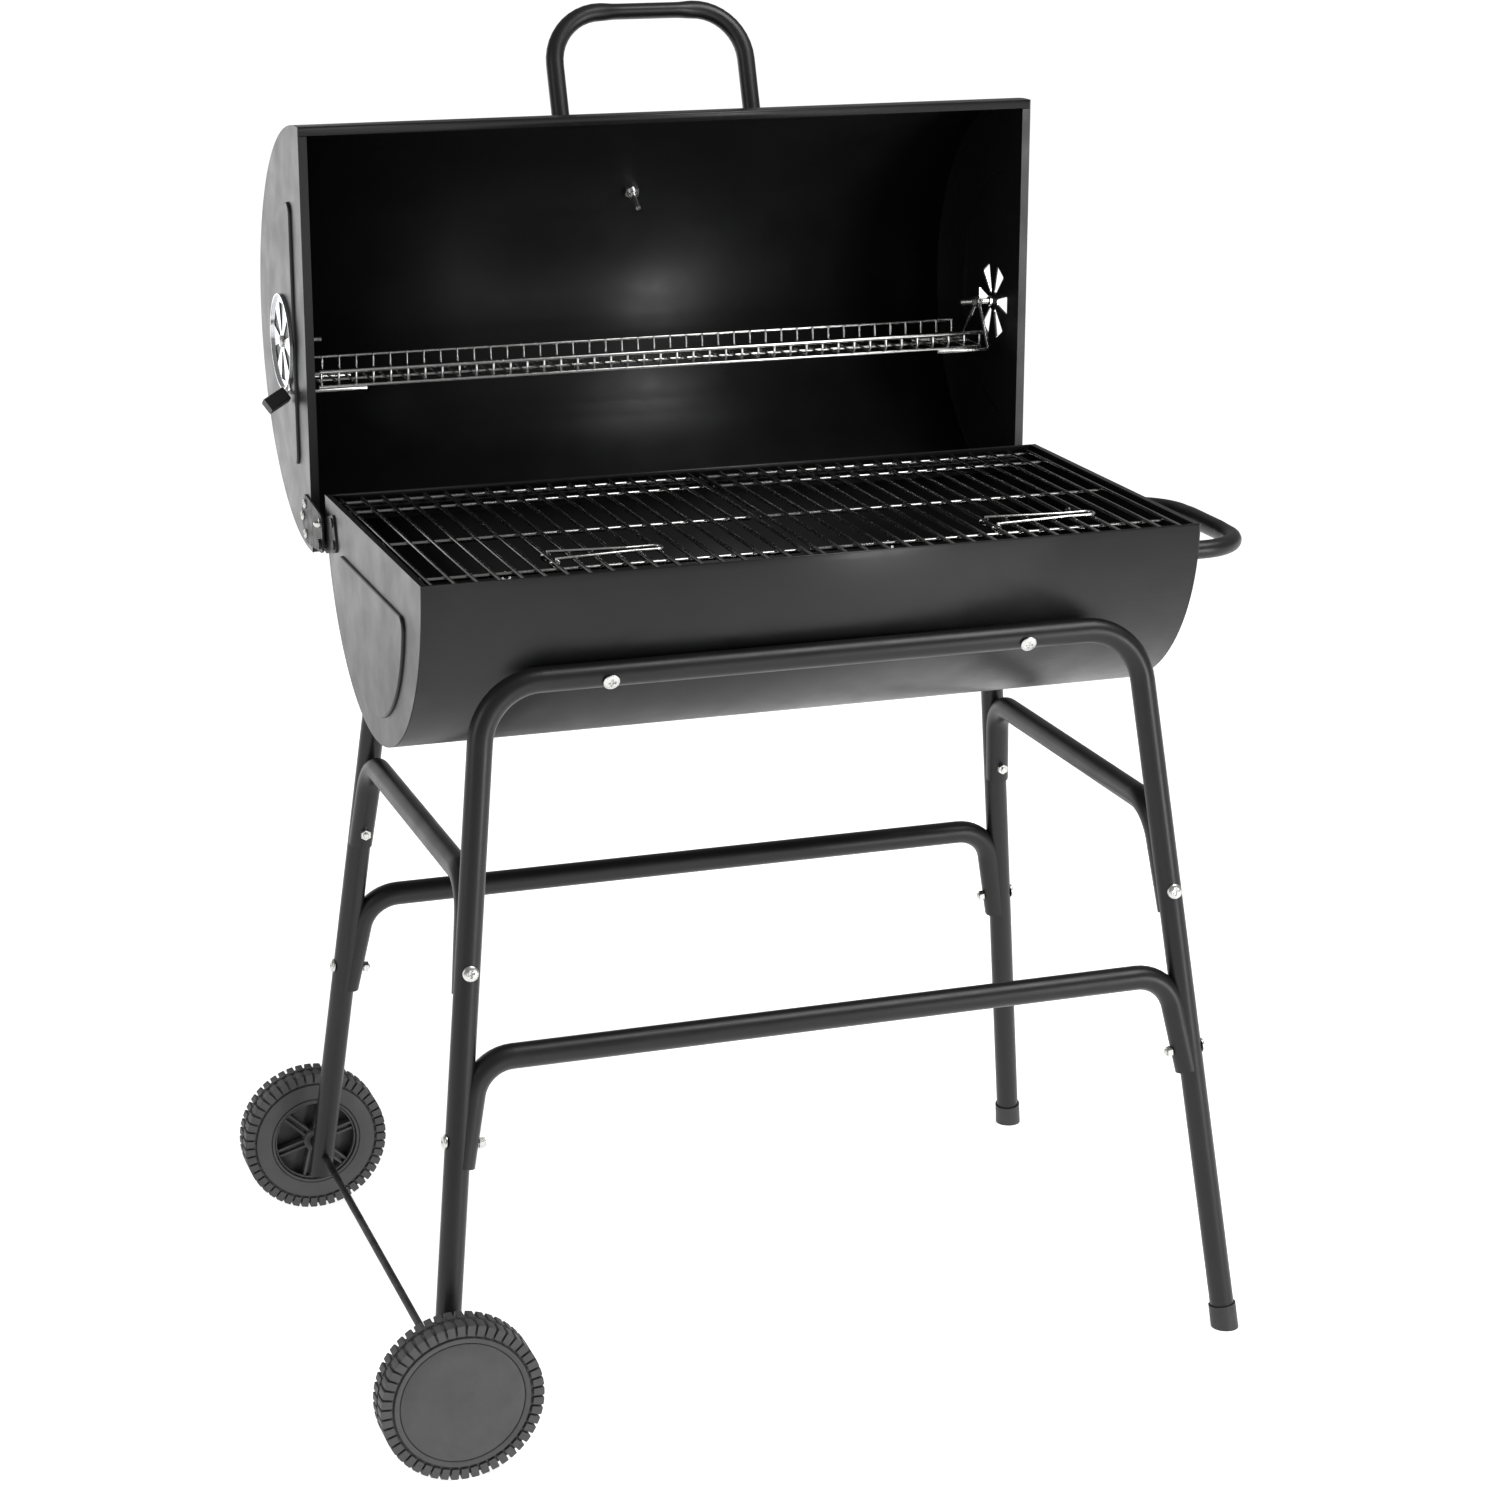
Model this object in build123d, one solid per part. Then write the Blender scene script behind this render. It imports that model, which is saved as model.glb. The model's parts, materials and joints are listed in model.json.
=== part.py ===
from build123d import *
import math
import os

# A half-drum charcoal grill on a wheeled tube stand, in millimetres, +Z up, front towards -Y.
# It is drawn about the drum: X = 0 at its middle, Y = 0 on its axis, Z = 0 on the floor, lid fully open.
# export() then moves everything by ORIGIN, so that the origin is under the middle of the whole grill.

# bowl: a half cylinder of sheet with flat ends
SHEET = 1.2
BOWL_R = 206.0
BOWL_HALF = 398.2
RIM_Z = 843.0
RIM_LIP = 5.0
HEM = 8.0
END_FLANGE = 12.0
EMBOSS_R = 140.0
EMBOSS_DROP = 38.0
EMBOSS_EDGE = 47.0
EMBOSS_EDGE_HANDLE = 64.0
EMBOSS_HEIGHT = 3.0
EMBOSS_CORNER = 12.0

# lid: a half cylinder with short straight skirts, drawn standing open behind the bowl
LID_R = 221.0
LID_HALF = 403.6
LID_SKIRT = 10.0
LID_LIP = 8.0
LID_PLANE_Y = 252.0
LID_MID_Z = 992.6
LID_AXIS_Y = LID_PLANE_Y + LID_SKIRT
PIVOT_Y = 200.6
PIVOT_Z = 792.2

# stand: bent tubes
TUBE_R = 12.5
TUBE_WALL = 1.2
RAIL_R = BOWL_R + TUBE_R + 0.2
RAIL_DROP_DEG = 28.2
RAIL_Y = RAIL_R * math.cos(math.radians(RAIL_DROP_DEG))
RAIL_Z = RIM_Z - RAIL_R * math.sin(math.radians(RAIL_DROP_DEG))
RAIL_SEAM_X = 204.6
SWAGE_LENGTH = 28.0
SWAGE_GAP = 0.1
LEG_TOP_X = 337.2
LEG_BEND = 62.0
FOOT_X = 421.1
FOOT_Y = 288.0
LEFT_LEG_END_Z = 55.0
SADDLE_TOP = 15.0
SADDLE_END = 5.5
SADDLE_FILL = 45.0
STRETCHER_BEND = 42.0
STRETCHER_Z = {
    ("x", -1): (383.0, 303.0, 280.0),
    ("x", 1): (391.4, 308.0, 284.0),
    ("y", -1): (553.5, 467.0, 446.0),
    ("y", 1): (553.5, 474.0, 456.0),
}
CAP_R = 14.3
CAP_HEIGHT = 25.0
CAP_FLOOR = 4.0

# wheels and axle
WHEEL_R = 80.0
WHEEL_WIDTH = 35.0
WHEEL_OUT_Y = 348.4
RIM_R = 61.0
HUB_R = 13.0
SPOKES = 6
AXLE_R = 4.0
AXLE_X = -412.0
AXLE_HALF = 343.0
AXLE_FIT = 0.06

# fasteners
BOLT_R = 3.0
BOLT_HOLE_R = 3.15
HEAD_R = 6.0
HEAD_HEIGHT = 3.6
NUT_FLATS = 10.0
NUT_HEIGHT = 5.0
SMALL_R = 2.5
SMALL_HOLE_R = 2.65
SMALL_HEAD_R = 5.0
SMALL_HEAD_HEIGHT = 2.8
SMALL_NUT_FLATS = 8.0
SMALL_NUT_HEIGHT = 4.0
BOWL_BOLT_X = 215.0

# hinges
BRACKET = 2.0
HINGE_PIN_R = 3.0
HINGE_GAP = 0.08
STOP_RISE = 22.8
LID_BRACKET_SCREWS = ((272.0, 820.0), (284.0, 805.0), (272.0, 788.0))
BOWL_BRACKET_SCREWS = ((160.0, 800.0), (166.0, 822.0))

# handles
HANDLE_R = 9.6
HANDLE_WALL = 1.5
HANDLE_HALF = 107.4
LID_HANDLE_REACH = 125.0
LID_HANDLE_X = 5.5
SIDE_HANDLE_REACH = 118.0
HANDLE_BEND = 56.0
LID_HANDLE_BACK = 75.0
SIDE_HANDLE_Z = 790.0

# grates
GRATE_ROD_R = 2.0
GRATE_FRAME_R = 2.5
GRATE_Z = 838.0
GRATE_HALF_Y = 196.5
GRATE_IN_X = 4.0
GRATE_OUT_X = 386.0
GRATE_RODS = 18
GRATE_CROSS_Y = (-150.0, 0.0, 150.0)
LEDGE = 1.5
LEDGE_IN_Y = 187.0
LEDGE_LOW_Z = 815.0
CHAR_Z = 712.0
CHAR_HALF_X = 380.0
CHAR_RODS = 27
LIFT_WIRE_R = 1.75
LIFT_EYE_R = 5.3
LIFT_LENGTH = 112.0
LIFT_Y = -124.0
LIFT_HALF = 16.0
LIFT_ROD = {"left": 6, "right": 9}

# vents and warming rack
VENT_Y = 350.0
VENT_Z = 979.0
PETALS = 6
PETAL_DEG = 29.0
PETAL_IN_R = 11.0
PETAL_OUT_R = 42.5
DAMPER_R = 50.5
DAMPER_SHEET = 1.0
DAMPER_GAP = 0.3
KNOB_R = 51.5
KNOB_LENGTH = 25.0
KNOB_TILT_DEG = 30.0
CLOSED_DEG = 30.0
VENT_PIN_R = 3.0
VENT_PIN_END_X = 374.0
HANGER_X = 387.0
HANGER_R = 2.0
RACK_FRONT_Y = 311.0
RACK_REAR_Y = 400.0
RACK_FLOOR_Z = 934.0
RACK_RAIL_Z = 951.0
RACK_HALF = 378.0
RACK_WIRE_R = 1.3
RACK_RAIL_R = 2.0
RACK_WIRES = 47

# thermometer on the lid
DIAL_TURN_DEG = 32.0
DIAL_R = 30.0
DIAL_CASE = 12.0
STEM_R = 3.0
STEM_REACH = 34.0
DIAL_X = 9.0

SIDES = {"left": -1, "right": 1}
ENDS = {"front": -1, "rear": 1}
BASE = (Align.CENTER, Align.CENTER, Align.MIN)


def rod(start, end, radius):
    """A round bar between two points."""
    start = Vector(*start)
    end = Vector(*end)
    place = Plane(origin=start, z_dir=end - start)
    return place * Cylinder(radius, (end - start).length, align=BASE)


def ring(start, end, outer, inner):
    """A round sleeve between two points."""
    return rod(start, end, outer) - rod(start, end, inner)


def hexagon(start, end, flats, hole):
    """A nut between two points, with its hole."""
    start = Vector(*start)
    end = Vector(*end)
    place = Plane(origin=start, z_dir=end - start)
    body = extrude(place * RegularPolygon(flats / 2, 6, major_radius=False), (end - start).length)
    return body - rod(start, end, hole)


def pipe(points, bend, radius, wall=0.0):
    """A round tube, or a solid wire when wall is 0, along straight runs joined by arcs."""
    path = FilletPolyline(*points, radius=bend)
    start = Plane(origin=path @ 0, z_dir=path % 0)
    solid = sweep(start * Circle(radius), path=path)
    if wall:
        solid -= sweep(start * Circle(radius - wall), path=path)
    return solid


def along(point, direction, distance):
    """The point that lies this far from another in a direction."""
    return tuple(p + distance * d for p, d in zip(point, direction))


def bolt(seat, direction, length, radius=BOLT_R, head=HEAD_R, height=HEAD_HEIGHT):
    """A pan-head bolt whose head sits outside the seat and whose shank runs in a direction."""
    top = along(seat, direction, -height)
    cap = rod(top, seat, head)
    edge = cap.edges().filter_by(GeomType.CIRCLE).sort_by_distance(top)[0]
    cap = fillet(edge, height * 0.45)
    return cap + rod(seat, along(seat, direction, length), radius)


def leg_point(side, end, z):
    """A point on a leg's centre line at height z, for a side and an end of -1 or 1."""
    t = (RAIL_Z - z) / RAIL_Z
    x = LEG_TOP_X + (FOOT_X - LEG_TOP_X) * t
    y = RAIL_Y + (FOOT_Y - RAIL_Y) * t
    return (side * x, end * y, z)


def leg_axis(side, end, z_low, z_high, radius):
    """A bar on a leg's centre line, to cut what must fit against the leg."""
    return rod(leg_point(side, end, z_low), leg_point(side, end, z_high), radius)


def beside_leg(side, end, z, inward):
    """The centre of a stretcher's end beside a leg, on the leg's inner X side or inner Y side."""
    down = Vector(*leg_point(side, end, 0.0)) - Vector(*leg_point(side, end, 100.0))
    down = down.normalized()
    towards = Vector(-side, 0, 0) if inward == "x" else Vector(0, -end, 0)
    towards = (towards - down * towards.dot(down)).normalized()
    top_z, _, end_z = STRETCHER_Z[inward, end]
    away = SADDLE_END + (SADDLE_TOP - SADDLE_END) * (z - end_z) / (top_z - end_z)
    point = Vector(*leg_point(side, end, z)) + towards * away
    return (point.X, point.Y, point.Z), (towards.X, towards.Y, towards.Z)


# ---------------------------------------------------------------- stand

def rail_out(end):
    """The direction from the drum's axis out through a rail."""
    angle = math.radians(RAIL_DROP_DEG)
    return (0.0, end * math.cos(angle), -math.sin(angle))


def bowl_bolt_seat(side, end):
    """Where a bowl bolt's head sits on the outside of a leg's upper run."""
    axis = (side * BOWL_BOLT_X, 0.0, RIM_Z)
    return along(axis, rail_out(end), RAIL_R + TUBE_R)


def bowl_bolt_hole(side, end):
    """The straight hole of a bowl bolt, through tube and sheet."""
    seat = bowl_bolt_seat(side, end)
    outer = along(seat, rail_out(end), 5.0)
    inner = along(seat, rail_out(end), -40.0)
    return rod(outer, inner, BOLT_HOLE_R)


def stretcher_bolt(side, end, inward):
    """The seat, direction and nut seat of a bolt through a leg and a stretcher's saddle."""
    z = STRETCHER_Z[inward, end][1]
    saddle, towards = beside_leg(side, end, z, inward)
    seat = along(leg_point(side, end, z), towards, -TUBE_R)
    nut = along(saddle, towards, TUBE_R + 0.65)
    return seat, towards, nut


def leg(side, end):
    """A leg: an upper run under the bowl's side, one bend and a splayed run to the floor."""
    foot_z = LEFT_LEG_END_Z if side < 0 else CAP_FLOOR
    points = [(side * RAIL_SEAM_X, end * RAIL_Y, RAIL_Z), (side * LEG_TOP_X, end * RAIL_Y, RAIL_Z)]
    points.append(leg_point(side, end, foot_z - 20.0))
    tube = pipe(points, LEG_BEND, TUBE_R, TUBE_WALL)
    tube -= Pos(0, 0, foot_z) * Box(2000, 2000, 200, align=(Align.CENTER, Align.CENTER, Align.MAX))
    tube -= bowl_bolt_hole(side, end)
    for inward in ("x", "y"):
        seat, towards, nut = stretcher_bolt(side, end, inward)
        tube -= rod(along(seat, towards, -2.0), nut, BOLT_HOLE_R)
    if side < 0:
        tube -= rod((AXLE_X, end * 240.0, WHEEL_R), (AXLE_X, end * 320.0, WHEEL_R), AXLE_R + AXLE_FIT)
    return tube


def rail(end):
    """The middle tube under the bowl's side, with swaged ends that fit inside the legs."""
    inner = TUBE_R - TUBE_WALL - SWAGE_GAP
    far = RAIL_SEAM_X + SWAGE_LENGTH
    outside = rod((-RAIL_SEAM_X, end * RAIL_Y, RAIL_Z), (RAIL_SEAM_X, end * RAIL_Y, RAIL_Z), TUBE_R)
    outside += rod((-far, end * RAIL_Y, RAIL_Z), (far, end * RAIL_Y, RAIL_Z), inner)
    outside -= rod((-far, end * RAIL_Y, RAIL_Z), (far, end * RAIL_Y, RAIL_Z), inner - TUBE_WALL)
    for side in SIDES.values():
        outside -= bowl_bolt_hole(side, end)
    return outside


def stretcher(ends, inward):
    """A cross tube with both ends bent down beside two legs and pressed into saddles round them."""
    low = [beside_leg(side, end, STRETCHER_Z[inward, end][2], inward)[0] for side, end in ends]
    high = [beside_leg(side, end, STRETCHER_Z[inward, end][0], inward)[0] for side, end in ends]
    tube = pipe([low[0], high[0], high[1], low[1]], STRETCHER_BEND, TUBE_R, TUBE_WALL)
    for side, end in ends:
        top_z, _, end_z = STRETCHER_Z[inward, end]
        filled = beside_leg(side, end, end_z + SADDLE_FILL, inward)[0]
        tube += rod(beside_leg(side, end, end_z, inward)[0], filled, TUBE_R - TUBE_WALL / 2)
        tube -= leg_axis(side, end, end_z - 60.0, top_z + 60.0, TUBE_R + 0.05)
        seat, towards, nut = stretcher_bolt(side, end, inward)
        tube -= rod(seat, along(nut, towards, 2.0), BOLT_HOLE_R)
    return max(tube.solids(), key=lambda piece: piece.volume)


def foot_cap(end):
    """A plastic cap over a right leg's foot, flat on the floor."""
    cap = leg_axis(1, end, -20.0, CAP_HEIGHT, CAP_R)
    cap -= Box(2000, 2000, 200, align=(Align.CENTER, Align.CENTER, Align.MAX))
    sleeve = leg_axis(1, end, -20.0, CAP_HEIGHT + 20.0, TUBE_R)
    sleeve -= Pos(0, 0, CAP_FLOOR) * Box(2000, 2000, 200, align=(Align.CENTER, Align.CENTER, Align.MAX))
    return cap - sleeve


def stand_bolts():
    """The eight bolts of the stretchers."""
    made = []
    for side in SIDES.values():
        for end in ENDS.values():
            for inward in ("x", "y"):
                seat, towards, nut = stretcher_bolt(side, end, inward)
                length = (Vector(*nut) - Vector(*seat)).length + NUT_HEIGHT + 2.0
                made.append(bolt(seat, towards, length))
    return made


def stand_nuts():
    """The eight nuts on the stretchers' saddles."""
    made = []
    for side in SIDES.values():
        for end in ENDS.values():
            for inward in ("x", "y"):
                _, towards, nut = stretcher_bolt(side, end, inward)
                made.append(hexagon(nut, along(nut, towards, NUT_HEIGHT), NUT_FLATS, BOLT_R))
    return made


def bowl_bolts():
    """The four bolts that hold the bowl on the rails."""
    made = []
    for side in SIDES.values():
        for end in ENDS.values():
            direction = tuple(-d for d in rail_out(end))
            made.append(bolt(bowl_bolt_seat(side, end), direction, 2 * TUBE_R + 9.0))
    return made


def bowl_nuts():
    """The nuts of the bowl bolts, inside the bowl."""
    made = []
    for side in SIDES.values():
        for end in ENDS.values():
            axis = (side * BOWL_BOLT_X, 0.0, RIM_Z)
            outer = along(axis, rail_out(end), BOWL_R - SHEET - 0.1)
            inner = along(axis, rail_out(end), BOWL_R - SHEET - 0.1 - NUT_HEIGHT)
            made.append(hexagon(outer, inner, NUT_FLATS, BOLT_R))
    return made


# ---------------------------------------------------------------- axle and wheels

def axle():
    """The plain rod through both left legs."""
    return rod((AXLE_X, -AXLE_HALF, WHEEL_R), (AXLE_X, AXLE_HALF, WHEEL_R), AXLE_R)


def axle_spacers():
    """Sleeves on the axle between each leg and its wheel."""
    inner = 293.0
    outer = WHEEL_OUT_Y - WHEEL_WIDTH - 0.5
    spots = [(end * inner, end * outer) for end in ENDS.values()]
    return [ring((AXLE_X, a, WHEEL_R), (AXLE_X, b, WHEEL_R), 7.0, AXLE_R) for a, b in spots]


def axle_caps():
    """Push-on caps that keep the wheels on the axle."""
    spots = [(end * (AXLE_HALF - 4.0), end * AXLE_HALF) for end in ENDS.values()]
    return [ring((AXLE_X, a, WHEEL_R), (AXLE_X, b, WHEEL_R), 8.5, AXLE_R) for a, b in spots]


def wheel(end):
    """A moulded wheel: tread ring with a middle groove, rim, spokes and hub on the inner side."""
    out_y = end * WHEEL_OUT_Y
    in_y = end * (WHEEL_OUT_Y - WHEEL_WIDTH)
    face_y = out_y - end * 3.0

    def disc(a, b, outer, inner):
        return ring((AXLE_X, a, WHEEL_R), (AXLE_X, b, WHEEL_R), outer, inner)

    tread = disc(out_y, in_y, WHEEL_R, RIM_R)
    tread = fillet(tread.edges().filter_by(GeomType.CIRCLE).group_by(SortBy.RADIUS)[-1], 4.0)
    middle = (out_y + in_y) / 2
    tread -= disc(middle - 1.5, middle + 1.5, WHEEL_R + 1.0, WHEEL_R - 4.0)
    web = disc(face_y - end * 9.0, face_y - end * 12.0, RIM_R + 1.0, AXLE_R + AXLE_FIT)
    hub = disc(in_y, out_y - end * 10.0, HUB_R, AXLE_R + AXLE_FIT)
    inner_rim = disc(in_y + end * 2.0, face_y - end * 11.0, 47.0, 44.0)
    body = tread + web + hub + inner_rim
    for n in range(SPOKES):
        angle = 360.0 / SPOKES * n + 30.0
        depth = WHEEL_WIDTH - 18.0
        spoke = Box(RIM_R - HUB_R + 2.0, depth, 5.0)
        middle_y = in_y + end * (depth / 2 + 3.0)
        spoke = Pos((RIM_R + HUB_R) / 2, 0, 0) * spoke
        body += Pos(AXLE_X, middle_y, WHEEL_R) * Rot(0, angle, 0) * spoke
    return body


def wheel_cover(end):
    """The flat disc that closes a wheel's outer side."""
    out_y = end * (WHEEL_OUT_Y - 0.4)
    in_y = end * (WHEEL_OUT_Y - 3.0)
    disc = rod((AXLE_X, in_y, WHEEL_R), (AXLE_X, out_y, WHEEL_R), RIM_R)
    disc -= ring((AXLE_X, out_y, WHEEL_R), (AXLE_X, out_y - end * 0.8, WHEEL_R), 55.0, 53.0)
    for n in range(3):
        angle = math.radians(120.0 * n)
        x = AXLE_X + 30.0 * math.cos(angle)
        z = WHEEL_R + 30.0 * math.sin(angle)
        disc += rod((x, in_y, z), (x, end * (WHEEL_OUT_Y - 12.0), z), 3.0)
    return disc


# ---------------------------------------------------------------- bowl

def bowl_section(radius):
    """A half disc under the rim, as a sketch of Y and Z."""
    disc = Pos(0, RIM_Z) * Circle(radius)
    return disc - Pos(0, RIM_Z + 500) * Rectangle(1000, 1000)


def prism(sketch, x_low, x_high):
    """A sketch of Y and Z carried along X."""
    return extrude(Plane.YZ.offset(x_low) * sketch, x_high - x_low)


def ends(low, high, side):
    """Two distances from the middle as an ordered pair of X places on one side."""
    return (low, high) if side > 0 else (-high, -low)


def bowl_shell():
    """The curved sheet of the bowl, with a folded hem along both long edges."""
    half = BOWL_HALF - SHEET
    shell = prism(bowl_section(BOWL_R) - bowl_section(BOWL_R - SHEET), -half, half)
    hem = bowl_section(BOWL_R - SHEET) - bowl_section(BOWL_R - 2 * SHEET)
    hem -= Pos(0, RIM_Z - HEM - 500) * Rectangle(1000, 1000)
    shell += prism(hem, -half + END_FLANGE, half - END_FLANGE)
    for side in SIDES.values():
        for end in ENDS.values():
            shell -= bowl_bolt_hole(side, end)
    return shell


def emboss(centre_y, centre_z, turned, edge=EMBOSS_EDGE):
    """The rounded D pressed into the end plates, as a sketch; turned lays it for the open lid."""
    cut = Pos(0, EMBOSS_DROP - edge + 250) * Rectangle(500, 500)
    shape = fillet((Circle(EMBOSS_R) - cut).vertices(), EMBOSS_CORNER)
    place = Pos(centre_y, centre_z)
    if turned:
        place = place * Rot(0, 0, 90)
    return place * shape


def press(plate, shape, side, outer_x):
    """Raise a shape out of a plate's outer face and hollow it from behind."""
    raised = prism(shape, *ends(outer_x - SHEET, outer_x + EMBOSS_HEIGHT, side))
    edges = raised.edges().group_by(Axis.X)[-1 if side > 0 else 0]
    raised = fillet(edges, EMBOSS_HEIGHT * 0.7)
    inside = offset(shape, -SHEET)
    hollow = prism(inside, *ends(outer_x - SHEET, outer_x + EMBOSS_HEIGHT - SHEET, side))
    return plate + raised - hollow


def bowl_end(side):
    """An end plate of the bowl: flat rim, pressed D, a lip along the top and a flange inside the shell."""
    inner = BOWL_HALF - SHEET
    plate = prism(bowl_section(BOWL_R), *ends(inner, BOWL_HALF, side))
    edge = EMBOSS_EDGE_HANDLE if side > 0 else EMBOSS_EDGE
    plate = press(plate, emboss(0, RIM_Z - EMBOSS_DROP, False, edge), side, BOWL_HALF)
    flange = bowl_section(BOWL_R - SHEET) - bowl_section(BOWL_R - 2 * SHEET)
    plate += prism(flange, *ends(inner - END_FLANGE, inner, side))
    lip = Pos(0, RIM_Z - SHEET / 2) * Rectangle(2 * (BOWL_R - SHEET) - 1.0, SHEET)
    plate += prism(lip, *ends(inner - RIM_LIP, inner, side))
    for y, z in BOWL_BRACKET_SCREWS:
        plate -= rod((side * 380, y, z), (side * 410, y, z), SMALL_HOLE_R)
    if side > 0:
        for y in (-HANDLE_HALF, HANDLE_HALF):
            plate -= rod((380, y, SIDE_HANDLE_Z), (410, y, SIDE_HANDLE_Z), BOLT_HOLE_R)
    return plate


def grate_ledge(end):
    """The angle strip inside the bowl's wall that carries the cooking grates."""
    top = GRATE_Z - GRATE_ROD_R - 2 * GRATE_FRAME_R + 0.4
    wall = bowl_section(BOWL_R - SHEET) - bowl_section(BOWL_R - SHEET - LEDGE)
    wall -= Pos(0, LEDGE_LOW_Z - 500) * Rectangle(1000, 1000)
    wall -= Pos(0, top + 500) * Rectangle(1000, 1000)
    wall -= Pos(-end * 500, RIM_Z) * Rectangle(1000, 1000)
    shelf_out = BOWL_R - SHEET - 1.0
    shelf = Pos(end * (LEDGE_IN_Y + shelf_out) / 2, top - LEDGE / 2)
    shelf = shelf * Rectangle(shelf_out - LEDGE_IN_Y, LEDGE)
    return prism(wall + shelf, -380.0, 380.0)


# ---------------------------------------------------------------- lid

def lid_section(radius, skirt=True):
    """The lid's outline of Y and Z, open towards the front."""
    arc = Pos(LID_AXIS_Y, LID_MID_Z) * Circle(radius)
    arc -= Pos(LID_AXIS_Y - 500, LID_MID_Z) * Rectangle(1000, 1000)
    if not skirt:
        return arc
    straight = Pos(LID_PLANE_Y + LID_SKIRT / 2, LID_MID_Z) * Rectangle(LID_SKIRT, 2 * radius)
    return arc + straight


def lid_out(degrees):
    """The direction out of the lid's curve, at an angle above level in the open lid."""
    angle = math.radians(degrees)
    return (0.0, math.cos(angle), math.sin(angle))


def on_lid(degrees, radius, x=0.0):
    """A point at an angle round the lid's curve and a distance from its axis."""
    return along((x, LID_AXIS_Y, LID_MID_Z), lid_out(degrees), radius)


def on_dial(radius):
    """A point on the thermometer's axis, at a distance from the lid's axis."""
    return on_lid(DIAL_TURN_DEG, radius, DIAL_X)


HANDLE_DEG = math.degrees(math.acos(LID_HANDLE_BACK / LID_R))


def lid_shell():
    """The curved sheet of the lid, with its skirts and the lips along both long edges."""
    half = LID_HALF - SHEET
    shell = prism(lid_section(LID_R) - lid_section(LID_R - SHEET), -half, half)
    for way in (-1, 1):
        middle = LID_MID_Z + way * (LID_R - SHEET - LID_LIP / 2)
        lip = Pos(LID_PLANE_Y + SHEET / 2, middle) * Rectangle(SHEET, LID_LIP + 0.4)
        shell += prism(lip, -half, half)
    for x in (LID_HANDLE_X - HANDLE_HALF, LID_HANDLE_X + HANDLE_HALF):
        shell -= rod(on_lid(HANDLE_DEG, LID_R + 5, x), on_lid(HANDLE_DEG, LID_R - 9, x), BOLT_HOLE_R)
    shell -= rod(on_dial(LID_R + 5), on_dial(LID_R - 9), 5.2)
    return shell


def petals():
    """The six wedge openings of a vent as sketches about the vent's centre."""
    half = math.radians(PETAL_DEG / 2)
    blade = Polygon(
        (PETAL_IN_R * math.cos(half), -PETAL_IN_R * math.sin(half)),
        (PETAL_OUT_R * math.cos(half), -PETAL_OUT_R * math.sin(half)),
        (PETAL_OUT_R * math.cos(half), PETAL_OUT_R * math.sin(half)),
        (PETAL_IN_R * math.cos(half), PETAL_IN_R * math.sin(half)),
        align=None,
    )
    blade = fillet(blade.vertices(), 1.6)
    return [Rot(0, 0, 360.0 / PETALS * n) * blade for n in range(PETALS)]


def vent_holes(plate, x_low, x_high):
    """Cut the six wedges through a plate."""
    for blade in petals():
        plate -= prism(Pos(VENT_Y, VENT_Z) * blade, x_low, x_high)
    return plate


def lid_end(side):
    """An end plate of the lid: pressed D with the vent, a lip on the open edge and an inner flange."""
    inner = LID_HALF - SHEET
    plate = prism(lid_section(LID_R), *ends(inner, LID_HALF, side))
    shape = emboss(LID_PLANE_Y + 1.0 + EMBOSS_DROP, LID_MID_Z, True)
    plate = press(plate, shape, side, LID_HALF)
    flange = lid_section(LID_R - SHEET, False) - lid_section(LID_R - 2 * SHEET, False)
    plate += prism(flange, *ends(inner - END_FLANGE, inner, side))
    lip = Pos(LID_PLANE_Y + SHEET / 2, LID_MID_Z)
    lip = lip * Rectangle(SHEET, 2 * (LID_R - SHEET - LID_LIP) - 1.0)
    plate += prism(lip, *ends(inner - LID_LIP, inner, side))
    plate = vent_holes(plate, *ends(380, 430, side))
    plate -= rod((side * 380, VENT_Y, VENT_Z), (side * 430, VENT_Y, VENT_Z), VENT_PIN_R + 0.15)
    for y, z in LID_BRACKET_SCREWS:
        plate -= rod((side * 380, y, z), (side * 420, y, z), SMALL_HOLE_R)
    return plate


# ---------------------------------------------------------------- hinges

def plate_round(spots, x_low, x_high):
    """A flat plate whose outline wraps round circles given as (y, z, radius)."""
    outline = Sketch()
    for first, second in zip(spots, spots[1:] + spots[:1]):
        a = Vector(first[0], first[1])
        b = Vector(second[0], second[1])
        way = (b - a).normalized()
        across = Vector(-way.Y, way.X)
        corners = [a + across * first[2], b + across * second[2]]
        corners += [b - across * second[2], a - across * first[2]]
        outline += make_face(Polyline(*corners, close=True))
        outline += Pos(a.X, a.Y) * Circle(first[2])
    middle = [(y, z) for y, z, _ in spots]
    outline += make_face(Polyline(*middle, close=True))
    return prism(outline, x_low, x_high)


def bowl_bracket(side):
    """The fixed hinge plate on the bowl's end, with the riveted pin's hole and the stop lug."""
    low = BOWL_HALF + 0.05
    high = low + BRACKET
    spots = [(PIVOT_Y, PIVOT_Z, 10.0), (160.0, 800.0, 8.0), (166.0, 822.0, 8.0), (202.0, 814.0, 6.0)]
    plate = plate_round(spots, *ends(low, high, side))
    lug = Pos(PIVOT_Y + 7.2, PIVOT_Z + 21.5) * Rectangle(5.0, 8.0)
    plate += prism(lug, *ends(low, LID_HALF - 0.5, side))
    plate -= rod((side * 390, PIVOT_Y, PIVOT_Z), (side * 410, PIVOT_Y, PIVOT_Z), HINGE_PIN_R)
    for y, z in BOWL_BRACKET_SCREWS:
        plate -= rod((side * 390, y, z), (side * 410, y, z), SMALL_HOLE_R)
    return plate


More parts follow.
